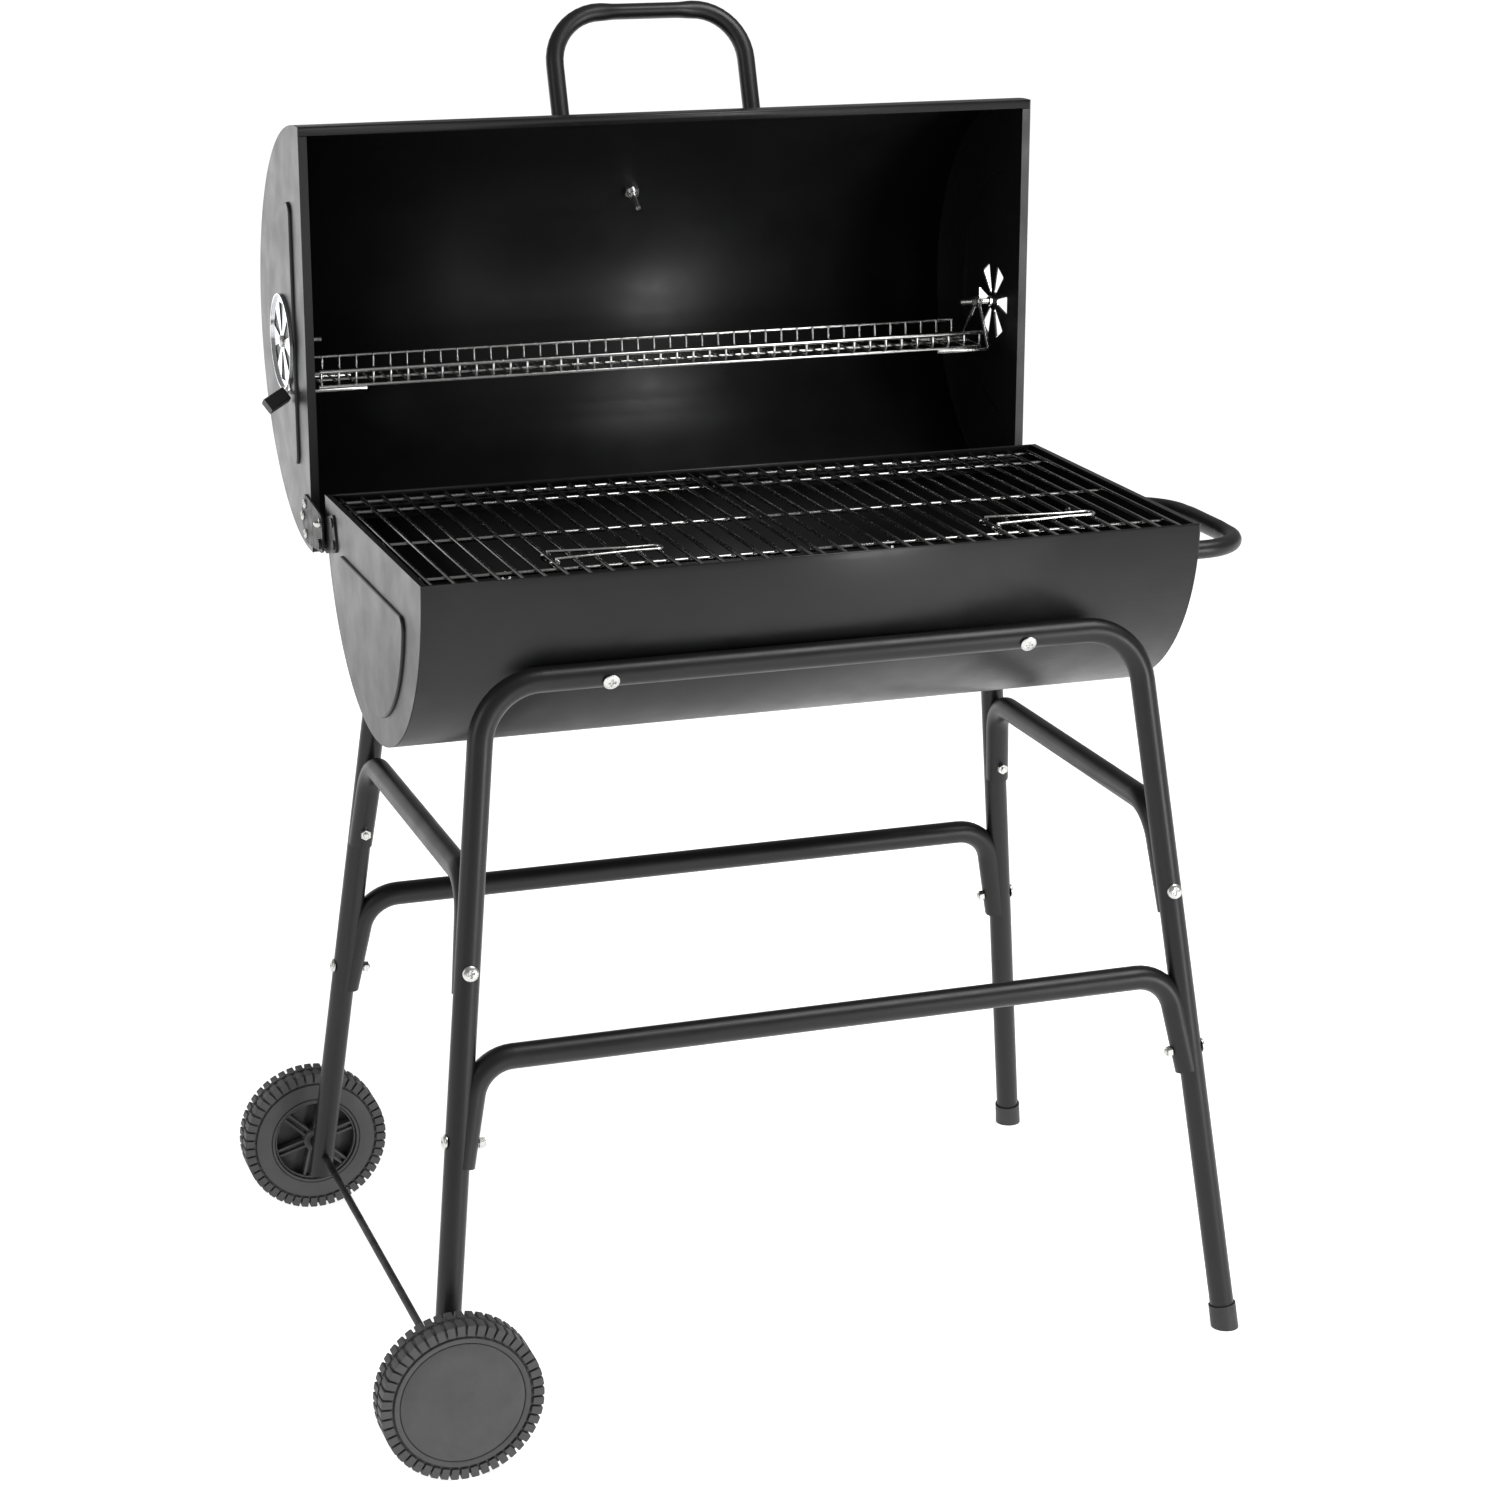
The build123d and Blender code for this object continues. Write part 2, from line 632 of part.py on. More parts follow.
def lid_bracket(side):
    """The moving hinge plate on the lid's end."""
    low = LID_HALF + 0.05
    high = low + BRACKET
    spots = [(PIVOT_Y, PIVOT_Z, 9.0), (PIVOT_Y, PIVOT_Z + STOP_RISE, 9.0), (272.0, 822.0, 8.0)]
    spots += [(286.0, 805.0, 7.0), (272.0, 786.0, 8.0)]
    plate = plate_round(spots, *ends(low, high, side))
    hole = HINGE_PIN_R + HINGE_GAP
    plate -= rod((side * 390, PIVOT_Y, PIVOT_Z), (side * 410, PIVOT_Y, PIVOT_Z), hole)
    stop_z = PIVOT_Z + STOP_RISE
    plate -= rod((side * 390, PIVOT_Y, stop_z), (side * 410, PIVOT_Y, stop_z), SMALL_R)
    for y, z in LID_BRACKET_SCREWS:
        plate -= rod((side * 390, y, z), (side * 420, y, z), SMALL_HOLE_R)
    return plate


def hinge_pin(side):
    """A shouldered pin riveted into the bowl's bracket, with a head outside the lid's bracket."""
    root_x = BOWL_HALF + 0.05
    seat_x = LID_HALF + 0.05 + BRACKET + 0.4
    pin = rod((side * root_x, PIVOT_Y, PIVOT_Z), (side * (seat_x + 1.0), PIVOT_Y, PIVOT_Z), HINGE_PIN_R)
    head = rod((side * seat_x, PIVOT_Y, PIVOT_Z), (side * (seat_x + 2.6), PIVOT_Y, PIVOT_Z), 5.5)
    shoulder_end = LID_HALF - 0.35
    shoulder_low = BOWL_HALF + 0.05 + BRACKET
    shoulder = rod((side * shoulder_low, PIVOT_Y, PIVOT_Z), (side * shoulder_end, PIVOT_Y, PIVOT_Z), 5.0)
    return pin + head + shoulder


def stop_screw(side):
    """The screw in the lid's bracket whose end meets the lug when the lid is fully open."""
    z = PIVOT_Z + STOP_RISE
    seat = (side * (LID_HALF + 0.05 + BRACKET), PIVOT_Y, z)
    return bolt(seat, (-side, 0, 0), BRACKET + 2.7, SMALL_R, SMALL_HEAD_R, SMALL_HEAD_HEIGHT)


def bracket_screws(spots, seat_x, length, height):
    """The screws of one kind of hinge plate, on both ends of the grill."""
    made = []
    for side in SIDES.values():
        for y, z in spots:
            seat = (side * seat_x, y, z)
            made.append(bolt(seat, (-side, 0, 0), length, SMALL_R, SMALL_HEAD_R, height))
    return made


def bracket_nuts(spots, face_x):
    """The nuts behind one kind of hinge plate, on both ends of the grill."""
    made = []
    for side in SIDES.values():
        for y, z in spots:
            start = (side * face_x, y, z)
            end = (side * (face_x - SMALL_NUT_HEIGHT), y, z)
            made.append(hexagon(start, end, SMALL_NUT_FLATS, SMALL_R))
    return made


# ---------------------------------------------------------------- handles

def handle(base, outward, reach):
    """A U of tube whose two feet stand on a surface at base, which gives each foot's place by X or Y."""
    feet = [base(-HANDLE_HALF), base(HANDLE_HALF)]
    tops = [along(foot, outward, reach - HANDLE_R) for foot in feet]
    tube = pipe([feet[0], tops[0], tops[1], feet[1]], HANDLE_BEND, HANDLE_R, HANDLE_WALL)
    for foot in feet:
        plug = rod(foot, along(foot, outward, 14.0), HANDLE_R - HANDLE_WALL)
        tube += plug - rod(foot, along(foot, outward, 12.0), BOLT_R)
    return tube


def lid_handle():
    """The lid's handle, standing on its curve."""
    base = lambda x: on_lid(HANDLE_DEG, LID_R + 0.05, LID_HANDLE_X + x)
    return handle(base, lid_out(HANDLE_DEG), LID_HANDLE_REACH)


def side_handle():
    """The handle on the bowl's right end, for pulling the grill along."""
    base = lambda y: (BOWL_HALF + 0.05, y, SIDE_HANDLE_Z)
    return handle(base, (1.0, 0.0, 0.0), SIDE_HANDLE_REACH)


def lid_handle_screws():
    """The two screws inside the lid that hold its handle."""
    inward = tuple(-d for d in lid_out(HANDLE_DEG))
    outward = lid_out(HANDLE_DEG)
    made = []
    for x in (LID_HANDLE_X - HANDLE_HALF, LID_HANDLE_X + HANDLE_HALF):
        seat = on_lid(HANDLE_DEG, LID_R - SHEET - 0.15, x)
        made.append(bolt(seat, outward, SHEET + 11.0))
    return made


def side_handle_screws():
    """The two screws inside the bowl that hold the side handle."""
    seats = [(BOWL_HALF - SHEET, y, SIDE_HANDLE_Z) for y in (-HANDLE_HALF, HANDLE_HALF)]
    return [bolt(seat, (1.0, 0.0, 0.0), SHEET + 11.0) for seat in seats]


# ---------------------------------------------------------------- grates

def grate_rod_x(side, number):
    """The X place of one bar of a cooking grate."""
    step = (GRATE_OUT_X - GRATE_IN_X - 2 * GRATE_FRAME_R) / (GRATE_RODS - 1)
    first = GRATE_IN_X + GRATE_FRAME_R
    left_to_right = first + step * number
    return left_to_right if side > 0 else left_to_right - GRATE_OUT_X - GRATE_IN_X


def cooking_grate(side):
    """A cooking grate: a wire frame, cross wires and bars laid front to back on top."""
    low = GRATE_Z - GRATE_ROD_R - GRATE_FRAME_R + 0.4
    xs = [grate_rod_x(side, 0), grate_rod_x(side, GRATE_RODS - 1)]
    y = GRATE_HALF_Y
    pieces = []
    for cross in (-y, *GRATE_CROSS_Y, y):
        pieces.append(rod((xs[0] - 2.0, cross, low), (xs[1] + 2.0, cross, low), GRATE_FRAME_R))
    for n in range(GRATE_RODS):
        x = grate_rod_x(side, n)
        pieces.append(rod((x, -y - 1.0, GRATE_Z), (x, y + 1.0, GRATE_Z), GRATE_ROD_R))
    return pieces[0].fuse(*pieces[1:])


def charcoal_grate():
    """The charcoal grate low in the bowl: two side wires, cross wires and bars front to back."""
    half_y = math.sqrt((BOWL_R - SHEET) ** 2 - (RIM_Z - CHAR_Z + 6.0) ** 2) - 3.0
    low = CHAR_Z - 2 * GRATE_FRAME_R + 0.5
    pieces = []
    for y in (-half_y + 12.0, -50.0, 50.0, half_y - 12.0):
        pieces.append(rod((-CHAR_HALF_X, y, low), (CHAR_HALF_X, y, low), GRATE_FRAME_R))
    step = 2 * (CHAR_HALF_X - 5.0) / (CHAR_RODS - 1)
    for n in range(CHAR_RODS):
        x = -CHAR_HALF_X + 5.0 + step * n
        pieces.append(rod((x, -half_y, CHAR_Z), (x, half_y, CHAR_Z), GRATE_FRAME_R))
    return pieces[0].fuse(*pieces[1:])


def grate_lifter(name):
    """A wire lifting handle that swings on one bar of a grate: two eyes and a tapering loop."""
    side = SIDES[name]
    x = grate_rod_x(side, LIFT_ROD[name])
    z = GRATE_Z + GRATE_ROD_R + 0.35 + LIFT_WIRE_R
    far = x + LIFT_LENGTH
    near_y = LIFT_Y + LIFT_HALF
    back_y = LIFT_Y - LIFT_HALF
    points = [(x + 1.0, near_y, z), (far, LIFT_Y + 9.0, z), (far, LIFT_Y - 9.0, z), (x + 1.0, back_y, z)]
    wire = pipe(points, 8.5, LIFT_WIRE_R)
    for y in (near_y, back_y):
        wire += ring((x, y - 1.8, GRATE_Z), (x, y + 1.8, GRATE_Z), LIFT_EYE_R, GRATE_ROD_R + 0.08)
    return wire - rod((x, back_y - 9.0, GRATE_Z), (x, near_y + 9.0, GRATE_Z), GRATE_ROD_R + 0.08)


# ---------------------------------------------------------------- vents and warming rack

def closed_left(shape, side):
    """Turn a damper piece about its vent to where it rests: the left damper is shut and the right one open."""
    if side > 0:
        return shape
    return Pos(0, VENT_Y, VENT_Z) * Rot(-CLOSED_DEG, 0, 0) * Pos(0, -VENT_Y, -VENT_Z) * shape


def tilted(shape, side, x, z):
    """Tilt a knob piece away from the vent's centre, about a line along Y."""
    return Pos(side * x, 0, z) * Rot(0, side * KNOB_TILT_DEG, 0) * Pos(-side * x, 0, -z) * shape


def damper(side):
    """A rotary damper: a disc with six wedges, a raised rim and a bent tab for its knob."""
    low = LID_HALF + EMBOSS_HEIGHT + DAMPER_GAP
    high = low + DAMPER_SHEET
    place = Pos(VENT_Y, VENT_Z)
    disc = prism(place * Circle(DAMPER_R), *ends(low, high, side))
    rim = place * (Circle(DAMPER_R) - Circle(DAMPER_R - 1.2))
    disc += prism(rim, *ends(low, high + 2.5, side))
    tab = Pos(VENT_Y, VENT_Z - KNOB_R + 1.0) * Rectangle(9.0, 14.0)
    disc += prism(tab, *ends(low, high, side))
    z = VENT_Z - KNOB_R - 5.0
    blade = prism(Pos(VENT_Y, z) * Rectangle(9.0, DAMPER_SHEET), *ends(low + 0.3, high + 14.0, side))
    disc += tilted(blade, side, high, z)
    disc = vent_holes(disc, *ends(380, 430, side))
    disc = closed_left(disc, side)
    return disc - rod((side * 380, VENT_Y, VENT_Z), (side * 430, VENT_Y, VENT_Z), VENT_PIN_R + 0.06)


def damper_knob(side):
    """The plastic grip pushed over a damper's tab."""
    high = LID_HALF + EMBOSS_HEIGHT + DAMPER_GAP + DAMPER_SHEET
    low = high + 5.0
    z = VENT_Z - KNOB_R - 5.0
    block = prism(Pos(VENT_Y, z) * RectangleRounded(14.0, 15.0, 2.0), *ends(low, low + KNOB_LENGTH, side))
    slot = Pos(VENT_Y, z) * Rectangle(9.0, DAMPER_SHEET)
    block -= prism(slot, *ends(low - 1.0, high + 14.0, side))
    return closed_left(tilted(block, side, high, z), side)


def vent_pin(side):
    """The bolt through the middle of a vent, whose inner end carries the warming rack."""
    seat_x = LID_HALF + EMBOSS_HEIGHT + DAMPER_GAP + DAMPER_SHEET + 0.3
    length = seat_x - VENT_PIN_END_X
    return bolt((side * seat_x, VENT_Y, VENT_Z), (-side, 0, 0), length, VENT_PIN_R, 6.5, 3.4)


def vent_nuts():
    """The nuts that lock the vent pins to the lid and keep the rack on them."""
    made = []
    for side in SIDES.values():
        faces = (LID_HALF + EMBOSS_HEIGHT - SHEET, HANGER_X - HANGER_R - 1.0)
        for face in faces:
            start = (side * face, VENT_Y, VENT_Z)
            end = (side * (face - NUT_HEIGHT), VENT_Y, VENT_Z)
            made.append(hexagon(start, end, NUT_FLATS, VENT_PIN_R))
    return made


def rack_hanger(side):
    """A hanger: an eye round the vent pin, two spread legs and two feet under the basket."""
    x = side * HANGER_X
    eye_r = VENT_PIN_R + 0.1 + HANGER_R
    foot_z = RACK_FLOOR_Z - RACK_RAIL_R - HANGER_R + 0.3
    pieces = [Pos(x, VENT_Y, VENT_Z) * Rot(0, 90, 0) * Torus(eye_r, HANGER_R)]
    for way, foot_y in ((-1, RACK_FRONT_Y + 5.0), (1, RACK_REAR_Y - 5.0)):
        top = (x, VENT_Y + way * eye_r, VENT_Z - 1.0)
        corner = (x, foot_y, foot_z)
        toe = (side * (HANGER_X - 62.0), foot_y, foot_z)
        pieces.append(pipe([top, corner, toe], 4.0, HANGER_R))
    return pieces[0].fuse(*pieces[1:])


def warming_rack():
    """The wire basket: top rails, floor wires along it and U-shaped cross wires."""
    half = RACK_HALF
    pieces = []
    for y in (RACK_FRONT_Y, RACK_REAR_Y):
        pieces.append(rod((-half, y, RACK_RAIL_Z), (half, y, RACK_RAIL_Z), RACK_RAIL_R))
    for y in (RACK_FRONT_Y + 6.0, (RACK_FRONT_Y + RACK_REAR_Y) / 2, RACK_REAR_Y - 6.0):
        pieces.append(rod((-half, y, RACK_FLOOR_Z), (half, y, RACK_FLOOR_Z), RACK_RAIL_R))
    floor = RACK_FLOOR_Z + RACK_RAIL_R + RACK_WIRE_R - 0.4
    side_y = (RACK_FRONT_Y + RACK_RAIL_R + 0.9, RACK_REAR_Y - RACK_RAIL_R - 0.9)
    step = 2 * (half - 3.0) / (RACK_WIRES - 1)
    for n in range(RACK_WIRES):
        x = -half + 3.0 + step * n
        points = [(x, side_y[0], RACK_RAIL_Z + 1.0), (x, side_y[0], floor)]
        points += [(x, side_y[1], floor), (x, side_y[1], RACK_RAIL_Z + 1.0)]
        pieces.append(pipe(points, 3.0, RACK_WIRE_R))
    return pieces[0].fuse(*pieces[1:])


# ---------------------------------------------------------------- thermometer

def dial_plane(radius):
    """A plane across the thermometer's axis, at a distance from the lid's axis."""
    return Plane(origin=on_dial(radius), x_dir=(1, 0, 0), z_dir=lid_out(DIAL_TURN_DEG))


def thermometer_case():
    """The metal cup of the thermometer, with the threaded neck through the lid."""
    seat = dial_plane(LID_R + 0.6)
    cup = seat * Cylinder(DIAL_R, DIAL_CASE, align=BASE)
    cup -= dial_plane(LID_R + 0.6 + 1.5) * Cylinder(DIAL_R - 1.5, DIAL_CASE, align=BASE)
    neck = dial_plane(LID_R - 12.0) * Cylinder(5.0, 13.5, align=BASE)
    stem = dial_plane(LID_R - 12.0) * Cylinder(STEM_R + 0.05, 20.0, align=BASE)
    return cup + neck - stem


def thermometer_dial():
    """The printed face of the thermometer."""
    return dial_plane(LID_R + 2.2) * (Cylinder(DIAL_R - 1.7, 1.0, align=BASE) - Cylinder(1.2, 5.0))


def thermometer_glass():
    """The glass over the dial, held in the cup's mouth."""
    return dial_plane(LID_R + DIAL_CASE - 1.6) * Cylinder(DIAL_R - 1.7, 1.6, align=BASE)


def thermometer_needle():
    """The pointer, turning about the thermometer's axis."""
    place = dial_plane(LID_R + 4.2)
    blade = Polygon((-2.0, -7.0), (2.0, -7.0), (0.5, 21.0), (-0.5, 21.0), align=None)
    needle = extrude(blade, 0.6) + Cylinder(3.0, 1.2, align=BASE)
    needle -= Cylinder(1.06, 5.0)
    return place * Rot(0, 0, 135) * needle


def thermometer_stem():
    """The sensor stem inside the lid, with the thin spindle that carries the pointer."""
    stem = rod(on_dial(LID_R - STEM_REACH), on_dial(LID_R + 1.9), STEM_R)
    spindle = rod(on_dial(LID_R + 1.9), on_dial(LID_R + 6.4), 1.0)
    return stem + spindle


def thermometer_nut():
    """The nut inside the lid that holds the thermometer."""
    start = on_dial(LID_R - SHEET - 0.2)
    return hexagon(start, on_dial(LID_R - SHEET - 6.2), 15.0, 5.0)


# ---------------------------------------------------------------- export

LEFT_EDGE = AXLE_X - WHEEL_R
RIGHT_EDGE = BOWL_HALF + 0.05 + SIDE_HANDLE_REACH
FRONT_EDGE = -WHEEL_OUT_Y
BACK_EDGE = LID_AXIS_Y + LID_R
ORIGIN = (-(LEFT_EDGE + RIGHT_EDGE) / 2, -(FRONT_EDGE + BACK_EDGE) / 2, 0.0)


def export(name, made):
    """Write one part, or a group of equal parts, to its own file."""
    shapes = made if isinstance(made, list) else [made]
    solids = [Pos(*ORIGIN) * solid for shape in shapes for solid in shape.solids()]
    whole = solids[0] if len(solids) == 1 else Compound(solids)
    export_step(whole, f"parts/{name}.step")


def main():
    os.makedirs("parts", exist_ok=True)
    export("bowl_shell", bowl_shell())
    for name, side in SIDES.items():
        export(f"bowl_end_{name}", bowl_end(side))
        export(f"lid_end_{name}", lid_end(side))
        export(f"damper_{name}", damper(side))
        export(f"damper_knob_{name}", damper_knob(side))
        export(f"cooking_grate_{name}", cooking_grate(side))
        export(f"grate_lifter_{name}", grate_lifter(name))
        for end_name, end in ENDS.items():
            export(f"leg_{end_name}_{name}", leg(side, end))
        pair = [(side, -1), (side, 1)]
        export(f"stretcher_{name}", stretcher(pair, "y"))
    for name, end in ENDS.items():
        export(f"rail_{name}", rail(end))
        pair = [(-1, end), (1, end)]
        export(f"stretcher_{name}", stretcher(pair, "x"))
        export(f"wheel_{name}", wheel(end))
        export(f"wheel_cover_{name}", wheel_cover(end))
    export("foot_caps", [foot_cap(end) for end in ENDS.values()])
    export("grate_ledges", [grate_ledge(end) for end in ENDS.values()])
    export("bowl_brackets", [bowl_bracket(side) for side in SIDES.values()])
    export("lid_brackets", [lid_bracket(side) for side in SIDES.values()])
    export("axle", axle())
    export("axle_spacers", axle_spacers())
    export("axle_caps", axle_caps())
    export("stretcher_bolts", stand_bolts())
    export("stretcher_nuts", stand_nuts())
    export("bowl_bolts", bowl_bolts())
    export("bowl_nuts", bowl_nuts())
    export("hinge_pins", [hinge_pin(side) for side in SIDES.values()])
    export("stop_screws", [stop_screw(side) for side in SIDES.values()])
    bowl_seat = BOWL_HALF + 0.05 + BRACKET
    export("bowl_bracket_screws", bracket_screws(BOWL_BRACKET_SCREWS, bowl_seat, 9.0, 1.8))
    export("bowl_bracket_nuts", bracket_nuts(BOWL_BRACKET_SCREWS, BOWL_HALF - SHEET))
    lid_seat = LID_HALF + 0.05 + BRACKET
    export("lid_bracket_screws", bracket_screws(LID_BRACKET_SCREWS, lid_seat, 9.0, SMALL_HEAD_HEIGHT))
    export("lid_bracket_nuts", bracket_nuts(LID_BRACKET_SCREWS, LID_HALF - SHEET))
    export("side_handle", side_handle())
    export("side_handle_screws", side_handle_screws())
    export("charcoal_grate", charcoal_grate())
    export("lid_shell", lid_shell())
    export("lid_handle", lid_handle())
    export("lid_handle_screws", lid_handle_screws())
    export("vent_pins", [vent_pin(side) for side in SIDES.values()])
    export("vent_nuts", vent_nuts())
    export("rack_hangers", [rack_hanger(side) for side in SIDES.values()])
    export("warming_rack", warming_rack())
    export("thermometer_case", thermometer_case())
    export("thermometer_dial", thermometer_dial())
    export("thermometer_glass", thermometer_glass())
    export("thermometer_needle", thermometer_needle())
    export("thermometer_stem", thermometer_stem())
    export("thermometer_nut", thermometer_nut())
    print("origin shift", ORIGIN)


main()
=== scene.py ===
import json
import math

import bmesh
import bpy
import numpy as np
from bpy.props import FloatProperty, FloatVectorProperty, IntProperty, PointerProperty
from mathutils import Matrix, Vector


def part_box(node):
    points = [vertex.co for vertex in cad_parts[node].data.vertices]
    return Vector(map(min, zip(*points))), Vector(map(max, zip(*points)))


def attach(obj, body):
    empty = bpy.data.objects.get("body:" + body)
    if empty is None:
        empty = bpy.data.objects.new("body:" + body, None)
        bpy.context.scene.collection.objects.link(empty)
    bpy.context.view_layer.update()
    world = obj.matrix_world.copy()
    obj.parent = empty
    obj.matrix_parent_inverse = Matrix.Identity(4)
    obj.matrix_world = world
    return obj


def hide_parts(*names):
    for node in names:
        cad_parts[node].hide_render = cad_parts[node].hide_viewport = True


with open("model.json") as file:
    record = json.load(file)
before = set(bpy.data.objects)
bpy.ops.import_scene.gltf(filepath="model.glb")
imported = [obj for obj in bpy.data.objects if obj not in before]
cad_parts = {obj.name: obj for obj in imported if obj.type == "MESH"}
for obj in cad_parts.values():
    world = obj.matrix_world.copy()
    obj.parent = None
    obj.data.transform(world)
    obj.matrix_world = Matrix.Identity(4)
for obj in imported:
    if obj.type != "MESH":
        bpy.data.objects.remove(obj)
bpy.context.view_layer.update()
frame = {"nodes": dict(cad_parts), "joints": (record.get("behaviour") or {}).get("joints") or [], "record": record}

bl_info = {
    "name": "Barrel charcoal grill",
    "version": (1, 0, 0),
    "blender": (4, 5, 0),
    "location": "3D View > Sidebar > Grill",
    "description": "Finished surfaces and materials for a half-drum charcoal grill",
    "category": "Object",
}

# The frame gives every place. Lengths are metres, +Z up, the cook stands at -Y.
MM = 0.001
X, Y, Z = np.eye(3)


def low_high(node):
    """The lowest and highest corner of a frame node, as arrays."""
    low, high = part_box(node)
    return np.array(low), np.array(high)


def joint_row(name, key):
    """Three numbers of a joint of the frame: its place, pos_m, or its axis."""
    joint = next(joint for joint in frame["joints"] if joint["name"] == name)
    return np.array(joint[key], float)


BOWL_LOW, BOWL_HIGH = low_high("bowl_shell")
LID_LOW, LID_HIGH = low_high("lid_shell")
BOWL_RADIUS = (BOWL_HIGH[1] - BOWL_LOW[1]) / 2
BOWL_Y = (BOWL_HIGH[1] + BOWL_LOW[1]) / 2
MID_X = (BOWL_HIGH[0] + BOWL_LOW[0]) / 2
RIM_Z = BOWL_HIGH[2]
LID_RADIUS = (LID_HIGH[2] - LID_LOW[2]) / 2
LID_Z = (LID_HIGH[2] + LID_LOW[2]) / 2
LID_FACE_Y = LID_LOW[1]
LID_AXIS_Y = LID_HIGH[1] - LID_RADIUS


# ------------------------------------------------------------------ settings

class GrillColours(bpy.types.PropertyGroup):
    """Base colours of the finishes."""

    paint: FloatVectorProperty(
        name="Powder coat", description="Black coat on the drum and the stand",
        subtype="COLOR", size=3, min=0.0, max=1.0, default=(0.0075, 0.0075, 0.0081))
    wire: FloatVectorProperty(
        name="Wire plating", description="Plated wire of grates and warming rack",
        subtype="COLOR", size=3, min=0.0, max=1.0, default=(0.62, 0.62, 0.61))
    zinc: FloatVectorProperty(
        name="Zinc", description="Zinc-plated bolts, screws and nuts",
        subtype="COLOR", size=3, min=0.0, max=1.0, default=(0.66, 0.66, 0.64))
    chrome: FloatVectorProperty(
        name="Chrome", description="Vent dampers and the thermometer's case",
        subtype="COLOR", size=3, min=0.0, max=1.0, default=(0.74, 0.75, 0.76))
    tyre: FloatVectorProperty(
        name="Wheel plastic", description="Dark grey plastic of the wheels",
        subtype="COLOR", size=3, min=0.0, max=1.0, default=(0.058, 0.058, 0.06))
    black_plastic: FloatVectorProperty(
        name="Black plastic", description="Foot caps and damper knobs",
        subtype="COLOR", size=3, min=0.0, max=1.0, default=(0.016, 0.016, 0.017))


class GrillWires(bpy.types.PropertyGroup):
    """Wire sizes."""

    grate_bar: FloatProperty(
        name="Grate bar radius", description="Radius of the cooking grates' bars",
        subtype="DISTANCE", min=0.0005, max=0.005, default=2.0 * MM)
    grate_frame: FloatProperty(
        name="Grate frame radius", description="Radius of the cross wires under the bars",
        subtype="DISTANCE", min=0.0005, max=0.005, default=2.5 * MM)
    grate_bars: IntProperty(
        name="Bars per grate", description="Bars on each cooking grate", min=4, max=60, default=18)
    rack_wire: FloatProperty(
        name="Rack wire radius", description="Radius of the warming rack's cross wires",
        subtype="DISTANCE", min=0.0005, max=0.004, default=1.3 * MM)
    rack_rail: FloatProperty(
        name="Rack rail radius", description="Radius of the warming rack's rails and hangers",
        subtype="DISTANCE", min=0.0005, max=0.005, default=2.0 * MM)
    rack_wires: IntProperty(
        name="Rack cross wires", description="Cross wires of the warming rack", min=4, max=90, default=41)
    fire_bars: IntProperty(
        name="Fire grate bars", description="Bars of the charcoal grate", min=4, max=60, default=27)


class GrillWheels(bpy.types.PropertyGroup):
    """Wheel details."""

    lugs: IntProperty(
        name="Tread lugs", description="Lugs in each of the two rows", min=12, max=90, default=48)
    lug_height: FloatProperty(
        name="Lug height", description="How far the lugs stand out of the tread",
        subtype="DISTANCE", min=0.0005, max=0.006, default=1.5 * MM)
    spokes: IntProperty(
        name="Spokes", description="Ribs between hub and rim", min=3, max=12, default=6)


class GrillStage(bpy.types.PropertyGroup):
    """Floor, light and camera."""

    floor: FloatVectorProperty(
        name="Floor", description="Colour of the plain floor",
        subtype="COLOR", size=3, min=0.0, max=1.0, default=(0.86, 0.86, 0.86))
    azimuth: FloatProperty(
        name="Azimuth", description="Turn of the camera about the vertical",
        subtype="ANGLE", default=math.radians(-18.907))
    elevation: FloatProperty(
        name="Elevation", description="Height angle of the camera",
        subtype="ANGLE", default=math.radians(16.696))
    lens: FloatProperty(
        name="Focal length", description="Lens in millimetres on a 36 mm sensor", min=20.0, max=300.0,
        default=83.18)
    eye: FloatVectorProperty(
        name="Eye", description="Where the camera stands", subtype="TRANSLATION", unit="LENGTH", size=3,
        default=(-1.12626, -3.28609, 1.61575))


# ------------------------------------------------------------------ surfaces as arrays

def unit(vectors):
    """Vectors scaled to length one."""
    vectors = np.asarray(vectors, float)
    return vectors / np.linalg.norm(vectors, axis=-1, keepdims=True)


def skin(grid, around_u=False, around_v=False):
    """Four-sided faces between the neighbours of a grid of points; a closed way joins its end to its
    start."""
    rows, columns = grid.shape[:2]
    index = np.arange(rows * columns).reshape(rows, columns)
    if around_u:
        index = np.concatenate([index, index[:1]], 0)
    if around_v:
        index = np.concatenate([index, index[:, :1]], 1)
    corners = [index[:-1, :-1], index[1:, :-1], index[1:, 1:], index[:-1, 1:]]
    return grid.reshape(-1, 3), np.stack(corners, -1).reshape(-1, 4)


def joined(parts):
    """Several pairs of points and faces as one pair."""
    counts = np.cumsum([0] + [len(points) for points, _ in parts[:-1]])
    points = np.concatenate([points for points, _ in parts])
    faces = np.concatenate([faces + count for (_, faces), count in zip(parts, counts)])
    return points, faces


def repeated(part, moves):
    """One part copied by many 4 by 4 moves: every point is multiplied by every move at once."""
    points, faces = part
    moves = np.asarray(moves)
    moved = np.einsum("mij,pj->mpi", moves[:, :3, :3], points) + moves[:, None, :3, 3]
    steps = np.arange(len(moves))[:, None, None] * len(points)
    return moved.reshape(-1, 3), (faces[None] + steps).reshape(-1, 4)


